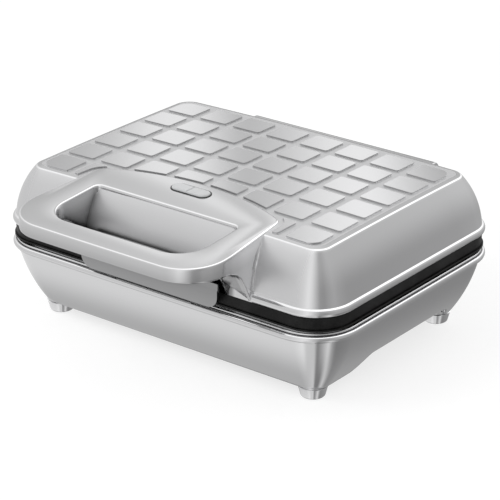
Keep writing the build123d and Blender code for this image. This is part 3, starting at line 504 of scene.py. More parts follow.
def shadeCloseParts(material, reach, darkest=0.3, satin=0.0, fade=None, opening=None, sideLift=None):
    # multiplies the colour by the close shade and by the painted light and shade given below, and adds the
    # satin areas to the gloss
    links = material.node_tree.links
    add = nodeTools(material.node_tree)
    surface = next(n for n in material.node_tree.nodes if n.type == "BSDF_PRINCIPLED")
    color = surface.inputs["Base Color"].links[0].from_socket
    level = add("ShaderNodeGroup", {"Reach": reach, "Darkest": darkest}, node_tree=shadeTree)
    place = axesOf(add, "ShaderNodeTexCoord", "Object")
    across = mathNode(add, "ABSOLUTE", place[0])
    if opening:
        # the close shade, and a fall in light towards the bottom, only inside the hand opening
        inside = mapRange(add, across, *opening["half"])
        deep = mapRange(add, place[2], *opening["height"], opening["lowLevel"])
        level = mathNode(add, "MULTIPLY", level, deep)
        level = add("ShaderNodeMix", {0: inside, 2: 1.0, 3: level})
    if sideLift:
        # the webs' outer sides catch more light towards the lid
        beyond = mapRange(add, across, *sideLift["half"], kind="LINEAR")
        near = mapRange(add, place[1], *sideLift["run"], 0.0, sideLift["most"])
        level = mathNode(add, "MULTIPLY", level, mathNode(add, "MULTIPLY_ADD", beyond, near, 1.0))
    if fade:
        # painted shade: upright faces darken towards their lower edge
        tilt = axesOf(add, "ShaderNodeNewGeometry", "Normal")[2]
        down = mapRange(add, place[2], *fade["height"], *fade["levels"], kind="LINEAR")
        facingUp = mapRange(add, tilt, *fade["tilt"], kind="LINEAR")
        kept = add("ShaderNodeMix", {0: facingUp, 2: down, 3: 1.0})
        level = mathNode(add, "MULTIPLY", level, kept)
    darker = add("ShaderNodeVectorMath", {0: color, 3: level}, operation="SCALE")
    links.new(darker.outputs[0], surface.inputs["Base Color"])
    if satin:
        areas = add("ShaderNodeGroup", node_tree=satinTree)
        rough = surface.inputs["Roughness"].links[0].from_socket
        links.new(mathNode(add, "MULTIPLY_ADD", areas, satin, rough), surface.inputs["Roughness"])
    return material


silverColor = grey4(0.74, 0.01)
finishes = {
    "silver": shadeCloseParts(lacquer("silverLacquer", silverColor), 0.003),
    "polished": lacquer("polishedFoot", grey4(0.82, 0.01), 0.1, 0.02),
    "steel": lacquer("turnedSteel", grey4(0.56), 0.28, 0.12),
    "sheet": lacquer("pressedSheet", grey4(0.66), 0.36, 0.1),
    "brass": lacquer("brass", (0.72, 0.5, 0.22, 1), 0.28),
    "hump": lacquer("humpLacquer", grey4(0.58, 0.01), 0.2),
    "tile": shadeCloseParts(lacquer("tileLacquer", silverColor), 0.01),
    # painted shade: the latch's grey is darker than the silver it is made of, for the shade under the
    # handle's bar
    "latch": shadeCloseParts(lacquer("latchShadedLacquer", grey4(0.36, 0.01), 0.2), 0.04, 0.25),
    # painted shade: the lid's colour darkens towards the bottom inside the hand opening
    "lid": shadeCloseParts(
        lacquer("lidLacquer", silverColor), 0.024, 0.24, satin=0.3,
        opening={"half": (0.064, 0.06), "height": (0.068, 0.09), "lowLevel": 0.42}),
    # painted shade low on the handle's upright faces and in the hand opening, painted light on the webs'
    # outer sides
    "handle": shadeCloseParts(
        lacquer("handleLacquer", silverColor, 0.15), 0.009,
        fade={"height": (0.091, 0.099), "levels": (0.72, 0.95), "tilt": (0.25, 0.7)},
        opening={"half": (0.0625, 0.0585), "height": (0.064, 0.096), "lowLevel": 0.6},
        sideLift={"half": (0.0705, 0.072), "run": (middleY - 0.116, middleY - 0.097), "most": 0.32}),
    "coating": moulded("nonStickCoating", grey4(0.003), grey4(0.016), 0.42, 0.25, 1500.0, specular=0.16),
    "darkPlastic": moulded("darkPlastic", grey4(0.02), grey4(0.035), 0.55, 0.15),
    "greyPlastic": moulded("greyPlastic", grey4(0.3), grey4(0.34), 0.5, 0.15),
    "palePlastic": moulded("palePlastic", grey4(0.62), grey4(0.7), 0.45, 0.08),
    "rubber": moulded("rubber", grey4(0.016), grey4(0.03), 0.75, 0.3),
    "heater": moulded("heaterTube", grey4(0.12), grey4(0.22), 0.5, 0.2, metallic=0.8),
    "sleeve": moulded("wovenSleeve", grey4(0.55), grey4(0.7), 0.8, 0.5, 2600.0),
}

nodeFinish = {
    "steel": ["handle_cover_screws", "handle_screws", "hinge_pin_left", "hinge_pin_right", "foot_screws",
              "upper_plate_screws", "lower_clip_screws", "upper_clip_screws", "latch_hook", "latch_pin",
              "latch_spring"],
    "rubber": [n for n in nodes if n.startswith("foot_pad")] + ["cord_inlet"],
    "coating": ["lower_plate", "upper_plate"],
    "darkPlastic": ["bottom_cover", "lamp_holder"],
    "greyPlastic": ["handle_cover"],
    "palePlastic": ["terminal_block", "thermostat"],
    "sheet": ["lower_heater_clips", "upper_heater_clips", "lower_heat_shield", "upper_heat_shield",
              "thermal_fuse"],
    "brass": ["terminal_screws"],
    "heater": ["lower_heater", "upper_heater"],
    "sleeve": ["base_leads", "lid_leads"],
}
for key, names in nodeFinish.items():
    for name in names:
        paint(nodes[name], finishes[key])
print("finishes ready")

# Lid: bead, leaning side, rounded edge and a shallow dome
lid = {
    "halfWidth": 130.3, "halfDepth": 94.6, "corner": 25.0,
    "low": 64.2, "top": 105.0, "sideRadius": 62.0, "wall": 2.4,
    "beadRadius": 3.2, "beadInset": 1.3, "beadArc": (-82, 70, 18), "edgeRound": 2.6, "crown": 5000.0,
    "marginRun": 2.5, "marginTilt": 12.0,
    "beadGap": 77.3, "sideStart": 6.6, "sideHeight": 40.0, "sideDepth": 14.0,
    "innerHeights": (36, 30, 22, 14, 8, 4, 1.2, 0.3),
    "marginShares": (0.08, 0.5, 0.9, 0.98),
    "topShares": (0.997, 0.97, 0.93, 0.86, 0.76, 0.64, 0.5, 0.36, 0.22, 0.1, 0.02),
    "frontStops": (0, 20, 40, 60, 70, 76.6, 77.0, 77.4, 78, 84, 92),
    "sideStops": (-50, -25, 0, 25, 50),
}


def lidInset(height, radius=None):
    radius = radius or lid["sideRadius"]
    return lid["sideRadius"] - math.sqrt(radius ** 2 - height ** 2)


def lidProfile():
    # (outward, height above the lid's lower edge), from the inner wall round to the flat top
    rise = lid["top"] - lid["low"]
    thin = lid["sideRadius"] - lid["wall"]
    points = [(-lidInset(h, thin), h, False) for h in lid["innerHeights"]]
    points += [(-lid["wall"] + 0.4, 0.0, False), (-0.9, 0.0, True)]
    bead = lid["beadRadius"]
    points += [(u, h, True) for u, h in arc(-lid["beadInset"], bead, bead, *lid["beadArc"])]
    tilt = math.radians(lid["marginTilt"])
    fall = lid["marginRun"] * math.tan(tilt)
    flat = rise - fall - lid["edgeRound"] * math.cos(tilt)
    out = math.sqrt((lid["sideRadius"] - lid["edgeRound"]) ** 2 - flat ** 2)
    start = math.degrees(math.atan2(flat, out))
    low = math.degrees(math.asin(lid["sideStart"] / lid["sideRadius"]))
    side = arc(-lid["sideRadius"], 0, lid["sideRadius"], low, start, 22)
    edge = arc(out - lid["sideRadius"], flat, lid["edgeRound"], start, 90 - lid["marginTilt"], 8)
    points += [(u, h, False) for u, h in side + edge[1:]]
    u, h = edge[-1]
    points += [(u - lid["marginRun"] * share, h + fall * share, False) for share in lid["marginShares"]]
    points.append((u - lid["marginRun"] - 0.15, rise, False))
    return points


def dome(x, y):
    return (x ** 2 + y ** 2) / (2 * lid["crown"])


def buildLid():
    ring = roundedRing(
        lid["halfWidth"], lid["halfDepth"], lid["corner"], 16, lid["frontStops"], lid["sideStops"])
    rise = lid["top"] - lid["low"]
    rows = []
    for u, h, onBead in lidProfile():
        row = []
        for x, y, nx, ny in ring:
            reach = u
            if onBead and ny < -0.99 and abs(x) < lid["beadGap"]:
                reach = min(u, -lidInset(min(max(h, 0), lid["sideStart"])))
            px, py = x + nx * reach, y + ny * reach
            settle = min(1.0, max(0.0, h / rise)) ** 2
            row.append((px, py, lid["low"] + h - dome(px, py) * settle))
        rows.append(row)
    edge = rows[-1]
    for share in lid["topShares"]:
        spots = [(x * share, y * share) for x, y, _ in edge]
        rows.append([(x, y, lid["top"] - dome(x, y)) for x, y in spots])
    shape = loft([placed(row) for row in rows], True, (False, True))
    newPiece("lidShell", shape, "lid", "lid", ["lid_shell"], "lid_finish", 40)


buildLid()

# Rear hump that carries the hinge, and the two knuckle ends
hump = {
    "halfX": 75.1, "axisY": 108.0, "axisZ": 61.0, "knuckle": 7.5,
    "topZ": 92.7, "topY": 104.6, "edge": 5.5, "frontY": 84.0,
}


def buildHump():
    h = hump
    outline = [(h["frontY"], h["topZ"])]
    outline += arc(h["topY"], h["topZ"] - h["edge"], h["edge"], 90, 12, 8)
    outline += arc(h["axisY"], h["axisZ"], h["knuckle"], 0, -180, 16)
    front = h["axisY"] - h["knuckle"]
    outline += [(front, h["axisZ"] + 5), (front - 4, h["axisZ"] + 7), (h["frontY"] + 3, h["axisZ"] + 7)]
    outline.reverse()
    extrusion("hingeHump", outline, h["halfX"], "lid", "hump", 1.4, "lid_finish")


buildHump()
print("lid ready")

# Handle: plate on the lid, side webs and grip, one ring of cross-sections round the hand opening
handle = {
    "halfWidth": 77.5, "shoulderHalf": 72.6, "backY": -45.2, "backRadius": 175.0,
    "frontY": -148.7, "bow": 0.6, "frontRound": 28.0, "turnY": -115.0, "shoulderRound": 9.0,
    "holeHalf": 56.3, "holeFront": -131.5, "holeBack": -81.3, "holeFrontRound": 19.0, "holeBackRound": 4.0,
    "outerEdge": 1.7, "innerEdge": 2.0, "lowerEdge": 1.0,
    "topAtBack": 106.9, "topFrom": -41.9, "slope": 0.0652,
    "barBottom": 90.6, "webFootY": -94.0, "kneeY": -108.5, "kneeRound": 22.0, "flare": 1.2,
    "flareX": 70.0, "flareY": -70.0, "flareBehind": 3.0, "flareFade": 9.0,
    "seat": 3.0, "lip": 1.9, "recess": 1.2, "sideRows": 18, "webSteps": 60,
}


def handleTop(y):
    return handle["topAtBack"] + handle["slope"] * (y - handle["topFrom"])


def wallY(z):
    # front face of the lid at a height
    return -(lid["halfDepth"] - lidInset(max(0.0, min(z - lid["low"], lid["sideHeight"]))))


def webBottom():
    # (y, z) line under the grip and down the web's front, as a lookup
    h = handle
    path = [(h["frontY"] - 2, h["barBottom"])]
    corner = (h["kneeY"], h["barBottom"])
    foot = (h["webFootY"], lid["low"])
    path += roundedCorner(path[0], corner, foot, h["kneeRound"], 16)
    path += [foot]
    return path


webLine = webBottom()


def wallHeight(y):
    # height at which the lid's front wall stands at y
    reach = lid["sideRadius"] - min(max(y + lid["halfDepth"], 0.0), lid["sideDepth"])
    return lid["low"] + math.sqrt(lid["sideRadius"] ** 2 - reach ** 2)


def bottomAt(y):
    if y >= handle["webFootY"]:
        return max(wallHeight(y) - handle["seat"], lid["low"] + 0.6)
    for (y0, z0), (y1, z1) in zip(webLine, webLine[1:]):
        if y0 <= y <= y1:
            return z0 + (z1 - z0) * (y - y0) / (y1 - y0)
    return handle["barBottom"]


def handleStations():
    # pairs of (outer point, inner point) for the right half, front middle to back middle
    h = handle
    outer, inner = [], []
    cornerX = h["halfWidth"] - h["frontRound"]
    holeX = h["holeHalf"] - h["holeFrontRound"]
    frontCorner = h["frontY"] + h["bow"] * (cornerX / h["halfWidth"]) ** 2
    for i in range(12):
        x = cornerX * i / 12
        outer.append((x, h["frontY"] + h["bow"] * (x / h["halfWidth"]) ** 2))
        inner.append((holeX * i / 12, h["holeFront"]))
    outer += arc(cornerX, frontCorner + h["frontRound"], h["frontRound"], -90, 0, 28)
    inner += arc(holeX, h["holeFront"] + h["holeFrontRound"], h["holeFrontRound"], -90, 0, 28)
    drop = h["backRadius"] - math.sqrt(h["backRadius"] ** 2 - h["shoulderHalf"] ** 2)
    shoulder = (h["shoulderHalf"], h["backY"] - drop)
    turned = (h["halfWidth"], h["turnY"])
    slope = h["shoulderHalf"] / math.sqrt(h["backRadius"] ** 2 - h["shoulderHalf"] ** 2)
    along = (shoulder[0] - 20, shoulder[1] + 20 * slope)
    bend = roundedCorner(turned, shoulder, along, h["shoulderRound"], 10)
    before, corner, after = (h["holeHalf"], -100), (h["holeHalf"], h["holeBack"]), (0, h["holeBack"])
    holeCorner = roundedCorner(before, corner, after, h["holeBackRound"], 10)
    sideStart, sideEnd = outer[-1][1], bend[0][1]
    holeStart, holeEnd = inner[-1][1], holeCorner[0][1]
    for i in range(1, h["webSteps"]):
        t = i / h["webSteps"]
        y = sideStart + (sideEnd - sideStart) * t
        lean = max(0.0, (y - h["turnY"]) / (shoulder[1] - h["turnY"]))
        outer.append((h["halfWidth"] - (h["halfWidth"] - h["shoulderHalf"]) * lean, y))
        inner.append((h["holeHalf"], holeStart + (holeEnd - holeStart) * t))
    outer += bend
    inner += holeCorner
    lastX, holeLastX = bend[-1][0], holeCorner[-1][0]
    for i in range(1, 15):
        x = lastX * (1 - i / 14)
        back = h["backRadius"] - math.sqrt(h["backRadius"] ** 2 - x ** 2)
        outer.append((x, h["backY"] - back))
        inner.append((holeLastX * (1 - i / 14), h["holeBack"]))
    return outer, inner


def outwardNormals(points, sign):
    normals = []
    count = len(points)
    for i in range(count):
        a, b = Vector(points[i - 1]), Vector(points[(i + 1) % count])
        d = (b - a).normalized()
        normals.append((d.y * sign, -d.x * sign))
    return normals


def edgePoint(x, y, nx, ny, radius, degrees, low=None):
    # point of a rounded edge; without a lower height the edge follows the handle's top
    turn = math.radians(degrees)
    shift = radius * (math.cos(turn) - 1)
    x, y = x + nx * shift, y + ny * shift
    if low is None:
        return x, y, handleTop(y) - radius * (1 - math.sin(turn))
    return x, y, low + radius * (1 + math.sin(turn))


def flareAt(x, y, z, flat):
    # how far the webs' outer sides widen where they meet the lid
    flare = handle["flare"]
    gap = wallY(z) - y
    atSide = abs(x) > handle["flareX"] and y < handle["flareY"]
    if not (atSide and -handle["flareBehind"] < gap < flare):
        return 0.0
    reach = flare - max(0.0, gap)
    fade = smooth((flat - z - 1.0) / handle["flareFade"])
    return math.copysign(flare - math.sqrt(flare ** 2 - reach ** 2), x) * fade


def buildHandle():
    h = handle
    outer, inner = handleStations()
    outer += [(-x, y) for x, y in reversed(outer[1:-1])]
    inner += [(-x, y) for x, y in reversed(inner[1:-1])]
    outNormals, inNormals = outwardNormals(outer, 1), outwardNormals(inner, -1)
    lip, deep, low = h["lip"], h["recess"], h["lowerEdge"]
    columns = []
    for (px, py), (qx, qy), (ox, oy), (ix, iy) in zip(outer, inner, outNormals, inNormals):
        outLow, inLow = bottomAt(py), bottomAt(qy)
        # under the bar, from the middle outwards, with a recess for the cover
        column = [
            ((px + qx) / 2, (py + qy) / 2, (outLow + inLow) / 2 + deep),
            (px - ox * (lip + 0.1), py - oy * (lip + 0.1), outLow + deep),
            (px - ox * lip, py - oy * lip, outLow),
        ]
        column += [edgePoint(px, py, ox, oy, low, a, outLow) for a in (-90, -60, -30, 0)]
        flat = handleTop(py) - h["outerEdge"]
        for i in range(1, h["sideRows"] + 1):
            z = outLow + low + (flat - outLow - low) * i / h["sideRows"]
            column.append((px + flareAt(px, py, z, flat), py, z))
        column += [edgePoint(px, py, ox, oy, h["outerEdge"], 90 * i / 5) for i in range(1, 6)]
        column += [edgePoint(qx, qy, ix, iy, h["innerEdge"], 90 - 90 * i / 5) for i in range(6)]
        top = handleTop(qy) - h["innerEdge"]
        column += [(qx, qy, top + (inLow + low - top) * i / 12) for i in range(1, 13)]
        column += [edgePoint(qx, qy, ix, iy, low, a, inLow) for a in (-30, -60, -90)]
        column += [
            (qx - ix * lip, qy - iy * lip, inLow),
            (qx - ix * (lip + 0.1), qy - iy * (lip + 0.1), inLow + deep),
        ]
        columns.append(placed(column))
    shape = loft(columns + [columns[0]])
    mergeClose(newPiece("handleBody", shape, "lid", "handle", ["handle"], "handle_finish", 40))
    return outer


handleOutline = buildHandle()
print("handle ready")

# Raised tiles of the lid, cut back round the handle plate
tiles = {
    "columns": 8, "rows": 6, "pitchX": 28.0, "pitchY": 25.5, "width": 22.0, "depth": 20.0,
    "rise": 1.0, "sunk": 0.3, "corner": 1.2, "edge": 0.16, "shiftY": -2.4, "margin": 3.5,
    "fieldCorner": 9.0, "fieldGap": 0.3, "topFacing": 0.995, "skirt": 0.5, "skirtRise": 0.35,
    "cutHeights": (90, 115),
}


def tileTree():
    tree, add, given = newGroup("raisedTiles", "GeometryNodeTree", (
        ("Columns", "Int", 8), ("Rows", "Int", 6), ("Pitch X", "Float", 0.028), ("Pitch Y", "Float", 0.0255),
        ("Width", "Float", 0.022), ("Depth", "Float", 0.02), ("Height", "Float", 0.002),
        ("Corner", "Float", 0.001), ("Base Height", "Float", 0.1), ("Centre Y", "Float", 0.0),
        ("Dome Y", "Float", 0.0), ("Dome Radius", "Float", 5.0), ("Skirt", "Float", 0.0009),
        ("Skirt Height", "Float", 0.0004), ("Keep In", "Object", None), ("Keep Out", "Object", None),
        ("Material", "Material", None),
    ), (("Geometry", "Geometry"),))
    wide = mathNode(add, "MULTIPLY_ADD", given["Skirt"], 2.0, given["Width"])
    deep = mathNode(add, "MULTIPLY_ADD", given["Skirt"], 2.0, given["Depth"])
    outline = add("GeometryNodeCurvePrimitiveQuadrilateral", {"Width": wide, "Height": deep})
    radius = mathNode(add, "ADD", given["Corner"], given["Skirt"])
    corners = {"Curve": outline, "Radius": radius, "Count": 4}
    rounded = add("GeometryNodeFilletCurve", corners, mode="POLY")
    face = add("GeometryNodeFillCurve", {"Curve": rounded}, mode="NGONS")
    raised = add("GeometryNodeExtrudeMesh", {
        "Mesh": face, "Offset Scale": given["Skirt Height"]}, mode="FACES")
    drawnIn = add("GeometryNodeScaleElements", {
        "Geometry": raised.outputs["Mesh"], "Selection": raised.outputs["Top"],
        "Scale": mathNode(add, "DIVIDE", given["Width"], wide)}, domain="FACE")
    left = mathNode(add, "SUBTRACT", given["Height"], given["Skirt Height"])
    raised = add("GeometryNodeExtrudeMesh", {
        "Mesh": drawnIn, "Selection": raised.outputs["Top"], "Offset Scale": left}, mode="FACES")
    under = add("GeometryNodeFlipFaces", {"Mesh": face})
    both = add("GeometryNodeJoinGeometry")
    tree.links.new(raised.outputs["Mesh"], both.inputs[0])
    tree.links.new(under.outputs[0], both.inputs[0])
    tile = add("GeometryNodeMergeByDistance", {"Geometry": both, "Distance": 0.00001})

    def span(count, pitch):
        return mathNode(add, "MULTIPLY", mathNode(add, "SUBTRACT", count, 1.0), pitch)

    grid = add("GeometryNodeMeshGrid", {
        "Size X": span(given["Columns"], given["Pitch X"]),
        "Size Y": span(given["Rows"], given["Pitch Y"]),
        "Vertices X": given["Columns"],
        "Vertices Y": given["Rows"],
    })
    repeated = add("GeometryNodeInstanceOnPoints", {"Points": grid, "Instance": tile})
    solid = add("GeometryNodeRealizeInstances", {"Geometry": repeated})
    centre = add("ShaderNodeCombineXYZ", {1: given["Centre Y"], 2: given["Base Height"]})
    moved = add("GeometryNodeTransform", {"Geometry": solid, "Translation": centre})
    keepOut = add("GeometryNodeObjectInfo", {"Object": given["Keep Out"]})
    keepIn = add("GeometryNodeObjectInfo", {"Object": given["Keep In"]})
    kept = add("GeometryNodeMeshBoolean", operation="INTERSECT")
    tree.links.new(moved.outputs[0], kept.inputs["Mesh 2"])
    tree.links.new(keepIn.outputs["Geometry"], kept.inputs["Mesh 2"])
    cut = add("GeometryNodeMeshBoolean", operation="DIFFERENCE")
    tree.links.new(kept.outputs[0], cut.inputs["Mesh 1"])
    tree.links.new(keepOut.outputs["Geometry"], cut.inputs["Mesh 2"])
    spot = axesOf(add, "GeometryNodeInputPosition", 0)
    along = mathNode(add, "SUBTRACT", spot[1], given["Dome Y"])
    acrossSquare = mathNode(add, "MULTIPLY", spot[0], spot[0])
    square = mathNode(add, "ADD", acrossSquare, mathNode(add, "MULTIPLY", along, along))
    fall = mathNode(add, "DIVIDE", square, mathNode(add, "MULTIPLY", given["Dome Radius"], -2.0))
    drop = add("ShaderNodeCombineXYZ", {2: fall})
    domed = add("GeometryNodeSetPosition", {"Geometry": cut, "Offset": drop})
    whole = add("GeometryNodeRealizeInstances", {"Geometry": domed})
    painted = add("GeometryNodeSetMaterial", {"Geometry": whole, "Material": given["Material"]})
    add("NodeGroupOutput", {0: painted})
    return tree


def cutter(name, outline):
    rows = [placed((x, y, z) for x, y in outline) for z in tiles["cutHeights"]]
    return newObject(name, loft(rows, True, (True, True)))


def domeNormals(mesh):
    # tile tops take the dome's own normals, everything else is flat
    mesh.polygons.foreach_set("use_smooth", [True] * len(mesh.polygons))
    normals = []
    for face in mesh.polygons:
        level = face.normal.z > tiles["topFacing"]
        for index in face.vertices:
            spot = mesh.vertices[index].co
            if level:
                lean = Vector((spot.x, spot.y - middleY, lid["crown"] * mm))
                normals.append(lean.normalized())
            else:
                normals.append(face.normal.copy())
    mesh.normals_split_custom_set(normals)


def buildTiles():
    t = tiles
    normals = outwardNormals(handleOutline, 1)
    around = []
    for (x, y), (nx, ny) in zip(handleOutline, normals):
        around.append((x + nx * t["margin"], y + ny * t["margin"]))
    keepOut = cutter("handleMargin", around)
    halfX = (t["pitchX"] * (t["columns"] - 1) + t["width"]) / 2 + t["fieldGap"]
    halfY = (t["pitchY"] * (t["rows"] - 1) + t["depth"]) / 2 + t["fieldGap"]
    ring = roundedRing(halfX, halfY, t["fieldCorner"], 10)
    keepIn = cutter("fieldEdge", [(x, y + t["shiftY"]) for x, y, _, _ in ring])
    piece = newObject("lidTiles")
    modifier = piece.modifiers.new("tiles", "NODES")
    modifier.node_group = tileTree()
    values = {
        "Columns": t["columns"], "Rows": t["rows"], "Pitch X": t["pitchX"] * mm, "Pitch Y": t["pitchY"] * mm,
        "Width": t["width"] * mm, "Depth": t["depth"] * mm, "Height": (t["rise"] + t["sunk"]) * mm,
        "Corner": t["corner"] * mm, "Base Height": (lid["top"] - t["sunk"]) * mm,
        "Centre Y": middleY + t["shiftY"] * mm, "Dome Y": middleY, "Dome Radius": lid["crown"] * mm,
        "Skirt": t["skirt"] * mm, "Skirt Height": t["skirtRise"] * mm,
        "Keep In": keepIn, "Keep Out": keepOut, "Material": finishes["tile"],
    }
    for socket in modifier.node_group.interface.items_tree:
        if socket.name in values and socket.in_out == "INPUT":
            modifier[socket.identifier] = values[socket.name]
    roundEdges(piece, t["edge"], 2, 50)
    bpy.data.objects.remove(keepOut)
    bpy.data.objects.remove(keepIn)
    domeNormals(piece.data)
    return register(piece, "lid")


tilePiece = buildTiles()
print("tiles ready:", len(tilePiece.data.polygons), "faces")

# Base: rim bead, drawn-in wall with the side cut-outs, ledge and upstand for the plate
base = {
    "halfWidth": 132.6, "halfDepth": 96.9, "corner": 31.2,
    "footZ": 8.0, "wallTop": 48.5, "wallInset": 1.6, "beadRadius": 2.2, "beadInset": 0.6,
    "beadArc": (80, -88, 20), "ridgeArc": (160, -30, 12),
    "ridgeRadius": 0.75, "ridgeInset": 1.5, "ridgeZ": 53.7,
    "footInset": 20.0, "sideRadius": 105.0, "wall": 2.4, "ledge": 52.5, "upstandTop": 55.7,
    "upstandOut": 10.0, "upstandIn": 12.4, "innerDepth": 42.0, "innerTop": 46.0,
    "cutFrom": 100.0, "cutFront": -44.0, "cutFrontRun": 17.0, "cutBack": 66.0, "cutBackRun": 13.0,
    "cutHeight": 10.0, "wallRows": 24, "innerRows": 6,
    "lowerEdge": ((0.15, 0.15), (0.5, 0.0), (1.9, 0.0), (2.4, 0.4)),
}


def baseCentre():
    b = base
    a, e = Vector((-b["wallInset"], b["wallTop"])), Vector((-b["footInset"], b["footZ"]))
    along = e - a
    away = math.sqrt(b["sideRadius"] ** 2 - (along.length / 2) ** 2)
    middle = (a + e) / 2
    return middle + Vector((along.y, -along.x)).normalized() * away


def baseSide(z, shrink=0.0):
    centre = baseCentre()
    return centre.x + math.sqrt((base["sideRadius"] - shrink) ** 2 - (z - centre.y) ** 2)


def baseBottom(x, y):
    b = base
    if abs(x) < b["cutFrom"]:
        return b["footZ"]
    front = smooth((y - b["cutFront"]) / b["cutFrontRun"])
    back = smooth((b["cutBack"] - y) / b["cutBackRun"])
    return b["footZ"] + b["cutHeight"] * min(front, back)


def baseRow(ring, heightAt, shrink=0.0):
    # one row round the base on the curve of its side, at heights that may follow the cut-outs
    row = []
    for x, y, nx, ny in ring:
        z = heightAt(x, y)
        u = baseSide(z, shrink)
        row.append((x + nx * u, y + ny * u, z))
    return row


def buildBase():
    b = base
    sideStops = [-60 + 1.5 * i for i in range(28)] + [-10, 10, 30] + [46 + 1.5 * i for i in range(13)]
    ring = roundedRing(b["halfWidth"], b["halfDepth"], b["corner"], 18, [0, 30, 60, 90], sideStops)
    inner, outer, top = -b["upstandIn"], -b["upstandOut"], b["upstandTop"]
    rim = [(inner, b["innerDepth"]), (inner, top - 0.4), (inner + 0.4, top), (outer - 0.4, top),
           (outer, top - 0.4), (outer, b["ledge"] + 0.3), (outer + 0.3, b["ledge"])]
    rim += arc(-b["ridgeInset"], b["ridgeZ"], b["ridgeRadius"], *b["ridgeArc"])
    rim += [(-b["ridgeInset"] + 0.3, b["ridgeZ"] - 1.1)]
    rim += arc(-b["beadInset"], b["wallTop"] + b["beadRadius"], b["beadRadius"], *b["beadArc"])
    rows = [[(x + nx * u, y + ny * u, z) for x, y, nx, ny in ring] for u, z in rim]

    def wallAt(x, y):
        low = baseBottom(x, y) + 0.5
        return b["wallTop"] - 0.1 + (low - b["wallTop"] + 0.1) * step / b["wallRows"]

    def innerAt(x, y):
        low = baseBottom(x, y) + 0.4
        return low + (b["innerTop"] - low) * step / b["innerRows"]

    for step in range(b["wallRows"] + 1):
        rows.append(baseRow(ring, wallAt))
    for shrink, lift in b["lowerEdge"]:
        rows.append(baseRow(ring, lambda x, y: baseBottom(x, y) + lift, shrink))
    for step in range(1, b["innerRows"] + 1):
        rows.append(baseRow(ring, innerAt, b["wall"]))
    vertices, faces = loft([placed(row) for row in rows])
    faces = [tuple(reversed(f)) for f in faces]
    newPiece("baseShell", (vertices, faces), "base", "silver", ["base_shell"], "base_finish", 40)


buildBase()

# Rear pedestal with the hinge ears
pedestal = {
    "halfX": 83.6, "earWidth": 8.0, "topZ": 50.6, "frontY": 84.0,
    "lowFrontZ": 24, "lowBackZ": 29, "backZ": 38,
}


def buildPedestal():
    p, h = pedestal, hump
    back = h["axisY"] + h["knuckle"]
    outline = [(p["frontY"], p["lowFrontZ"]), (h["axisY"] - 2, p["lowBackZ"]), (back, p["backZ"]),
               (back, p["topZ"]), (p["frontY"], p["topZ"])]
    extrusion("hingePedestal", outline, p["halfX"], "base", "silver", 1.6, "base_finish")
    ear = arc(h["axisY"], h["axisZ"], h["knuckle"], 0, 180, 20)
    ear += [(h["axisY"] - h["knuckle"], p["topZ"] - 3), (back, p["topZ"] - 3)]
    for side, name in ((-1, "Left"), (1, "Right")):
        middle = side * (p["halfX"] - p["earWidth"] / 2)
        extrusion("hingeEar" + name, ear, p["earWidth"] / 2, "base", "silver", 0.8, "base_finish", middle)


buildPedestal()
print("base ready")

# Feet: tapered, polished, rounded at the bottom
foot = {
    "topRadius": 9.6, "bottomRadius": 7.6, "round": 1.32, "height": 8.0, "lift": 0.5, "bore": 6.2,
    "boss": 9.0, "bossTop": 18.0, "bossBore": 2.6, "screwBore": 3.0, "steps": 64,
}


def lathe(name, profile, centreX, centreY, body, finishKey, **places):
    turns = [2 * math.pi * i / foot["steps"] for i in range(foot["steps"])]
    rows = []
    for r, z in profile:
        rows.append(placed((centreX + r * math.cos(a), centreY + r * math.sin(a), z) for a in turns))
    newPiece(name, loft(rows), body, finishKey, sharp=45, **places)


def buildFeet():
    f = foot
    bore, high, lift = f["bore"], f["height"], f["lift"]
    profile = [(bore, 3.0), (bore, lift + 0.3), (bore + 0.3, lift)]
    profile += roundedCorner((bore, lift), (f["bottomRadius"], lift), (f["topRadius"], high), f["round"], 8)
    profile += [(f["topRadius"] - 0.25, high - 0.8), (f["topRadius"], high - 0.3),
                (f["topRadius"] - 0.4, high), (f["screwBore"], high)]
    boss = [(f["bossBore"], high + 0.05), (f["boss"], high + 0.05), (f["boss"], f["bossTop"])]
    for name in ("front_left", "front_right", "rear_left", "rear_right"):
        start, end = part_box("foot_" + name)
        x, y = (start.x + end.x) / 2 / mm, ((start.y + end.y) / 2 - middleY) / mm
        title = name.title().replace("_", "")
        lathe("foot" + title, profile, x, y, "base", "polished", replaced=["foot_" + name],
              slot="foot_finish")
        lathe("boss" + title, boss, x, y, "base", "silver", slot="base_finish")


buildFeet()
print("feet ready")

# Latch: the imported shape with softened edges
latch = {"edge": 0.7, "mergeWithin": 0.00002, "flatWithin": 1.0}


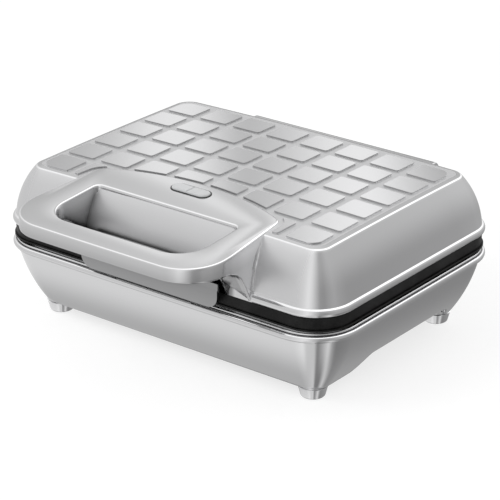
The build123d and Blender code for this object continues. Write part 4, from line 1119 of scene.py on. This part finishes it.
def buildLatch():
    source = nodes["latch"]
    piece = source.copy()
    piece.data = source.data.copy()
    piece.name = "latchFlap"
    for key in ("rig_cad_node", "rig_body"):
        if key in piece:
            del piece[key]
    bpy.context.scene.collection.objects.link(piece)
    work = bmesh.new()
    work.from_mesh(piece.data)
    bmesh.ops.remove_doubles(work, verts=work.verts, dist=latch["mergeWithin"])
    flat = math.radians(latch["flatWithin"])
    bmesh.ops.dissolve_limit(work, angle_limit=flat, verts=work.verts, edges=work.edges)
    work.to_mesh(piece.data)
    work.free()
    roundEdges(piece, latch["edge"], 3, 35, False)
    shadeSmooth(piece.data, 40)
    paint(piece, finishes["latch"])
    register(piece, "latch", ["latch"])


buildLatch()
print("latch ready")

# Indicator: clear lens in a dark ring of painted shade, two lamps under it
clear, add = newMaterial("clearLens")
glass = add("ShaderNodeBsdfPrincipled", {
    "Base Color": (0.95, 0.96, 0.97, 1), "Roughness": 0.06, "Transmission Weight": 0.4, "IOR": 1.47})
add("ShaderNodeOutputMaterial", {0: glass})
paint(nodes["indicator_lens"], clear)
for name, tint in (("power_lamp", (0.55, 0.2, 0.12, 1)), ("ready_lamp", (0.2, 0.45, 0.2, 1))):
    paint(nodes[name], moulded(name + "Tint", tint, tint, 0.2, 0.02))

# (growth, lift) of the dark ring round the lens, in mm; the ring is painted shade standing in for the shade
# at the lens's edge
lensRim = {
    "profile": ((0.06, -0.6), (0.06, 0.3), (0.2, 0.42), (0.6, 0.42), (0.78, 0.28), (0.78, -0.6)),
    "cornerSteps": 14,
}


def buildLensRim():
    low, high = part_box("indicator_lens")
    halfX, halfY = (high.x - low.x) / 2 / mm, (high.y - low.y) / 2 / mm
    centreY = ((high.y + low.y) / 2 - middleY) / mm
    rows = []
    for grow, lift in lensRim["profile"]:
        ring = roundedRing(halfX + grow, halfY + grow, halfY + grow - 0.01, lensRim["cornerSteps"])
        rows.append(placed((x, centreY + y, handleTop(centreY + y) + lift) for x, y, _, _ in ring))
    mergeClose(newPiece("lensRim", loft(rows + [rows[0]]), "lid", "darkPlastic", slot="handle_finish"))


buildLensRim()
print("indicator ready")
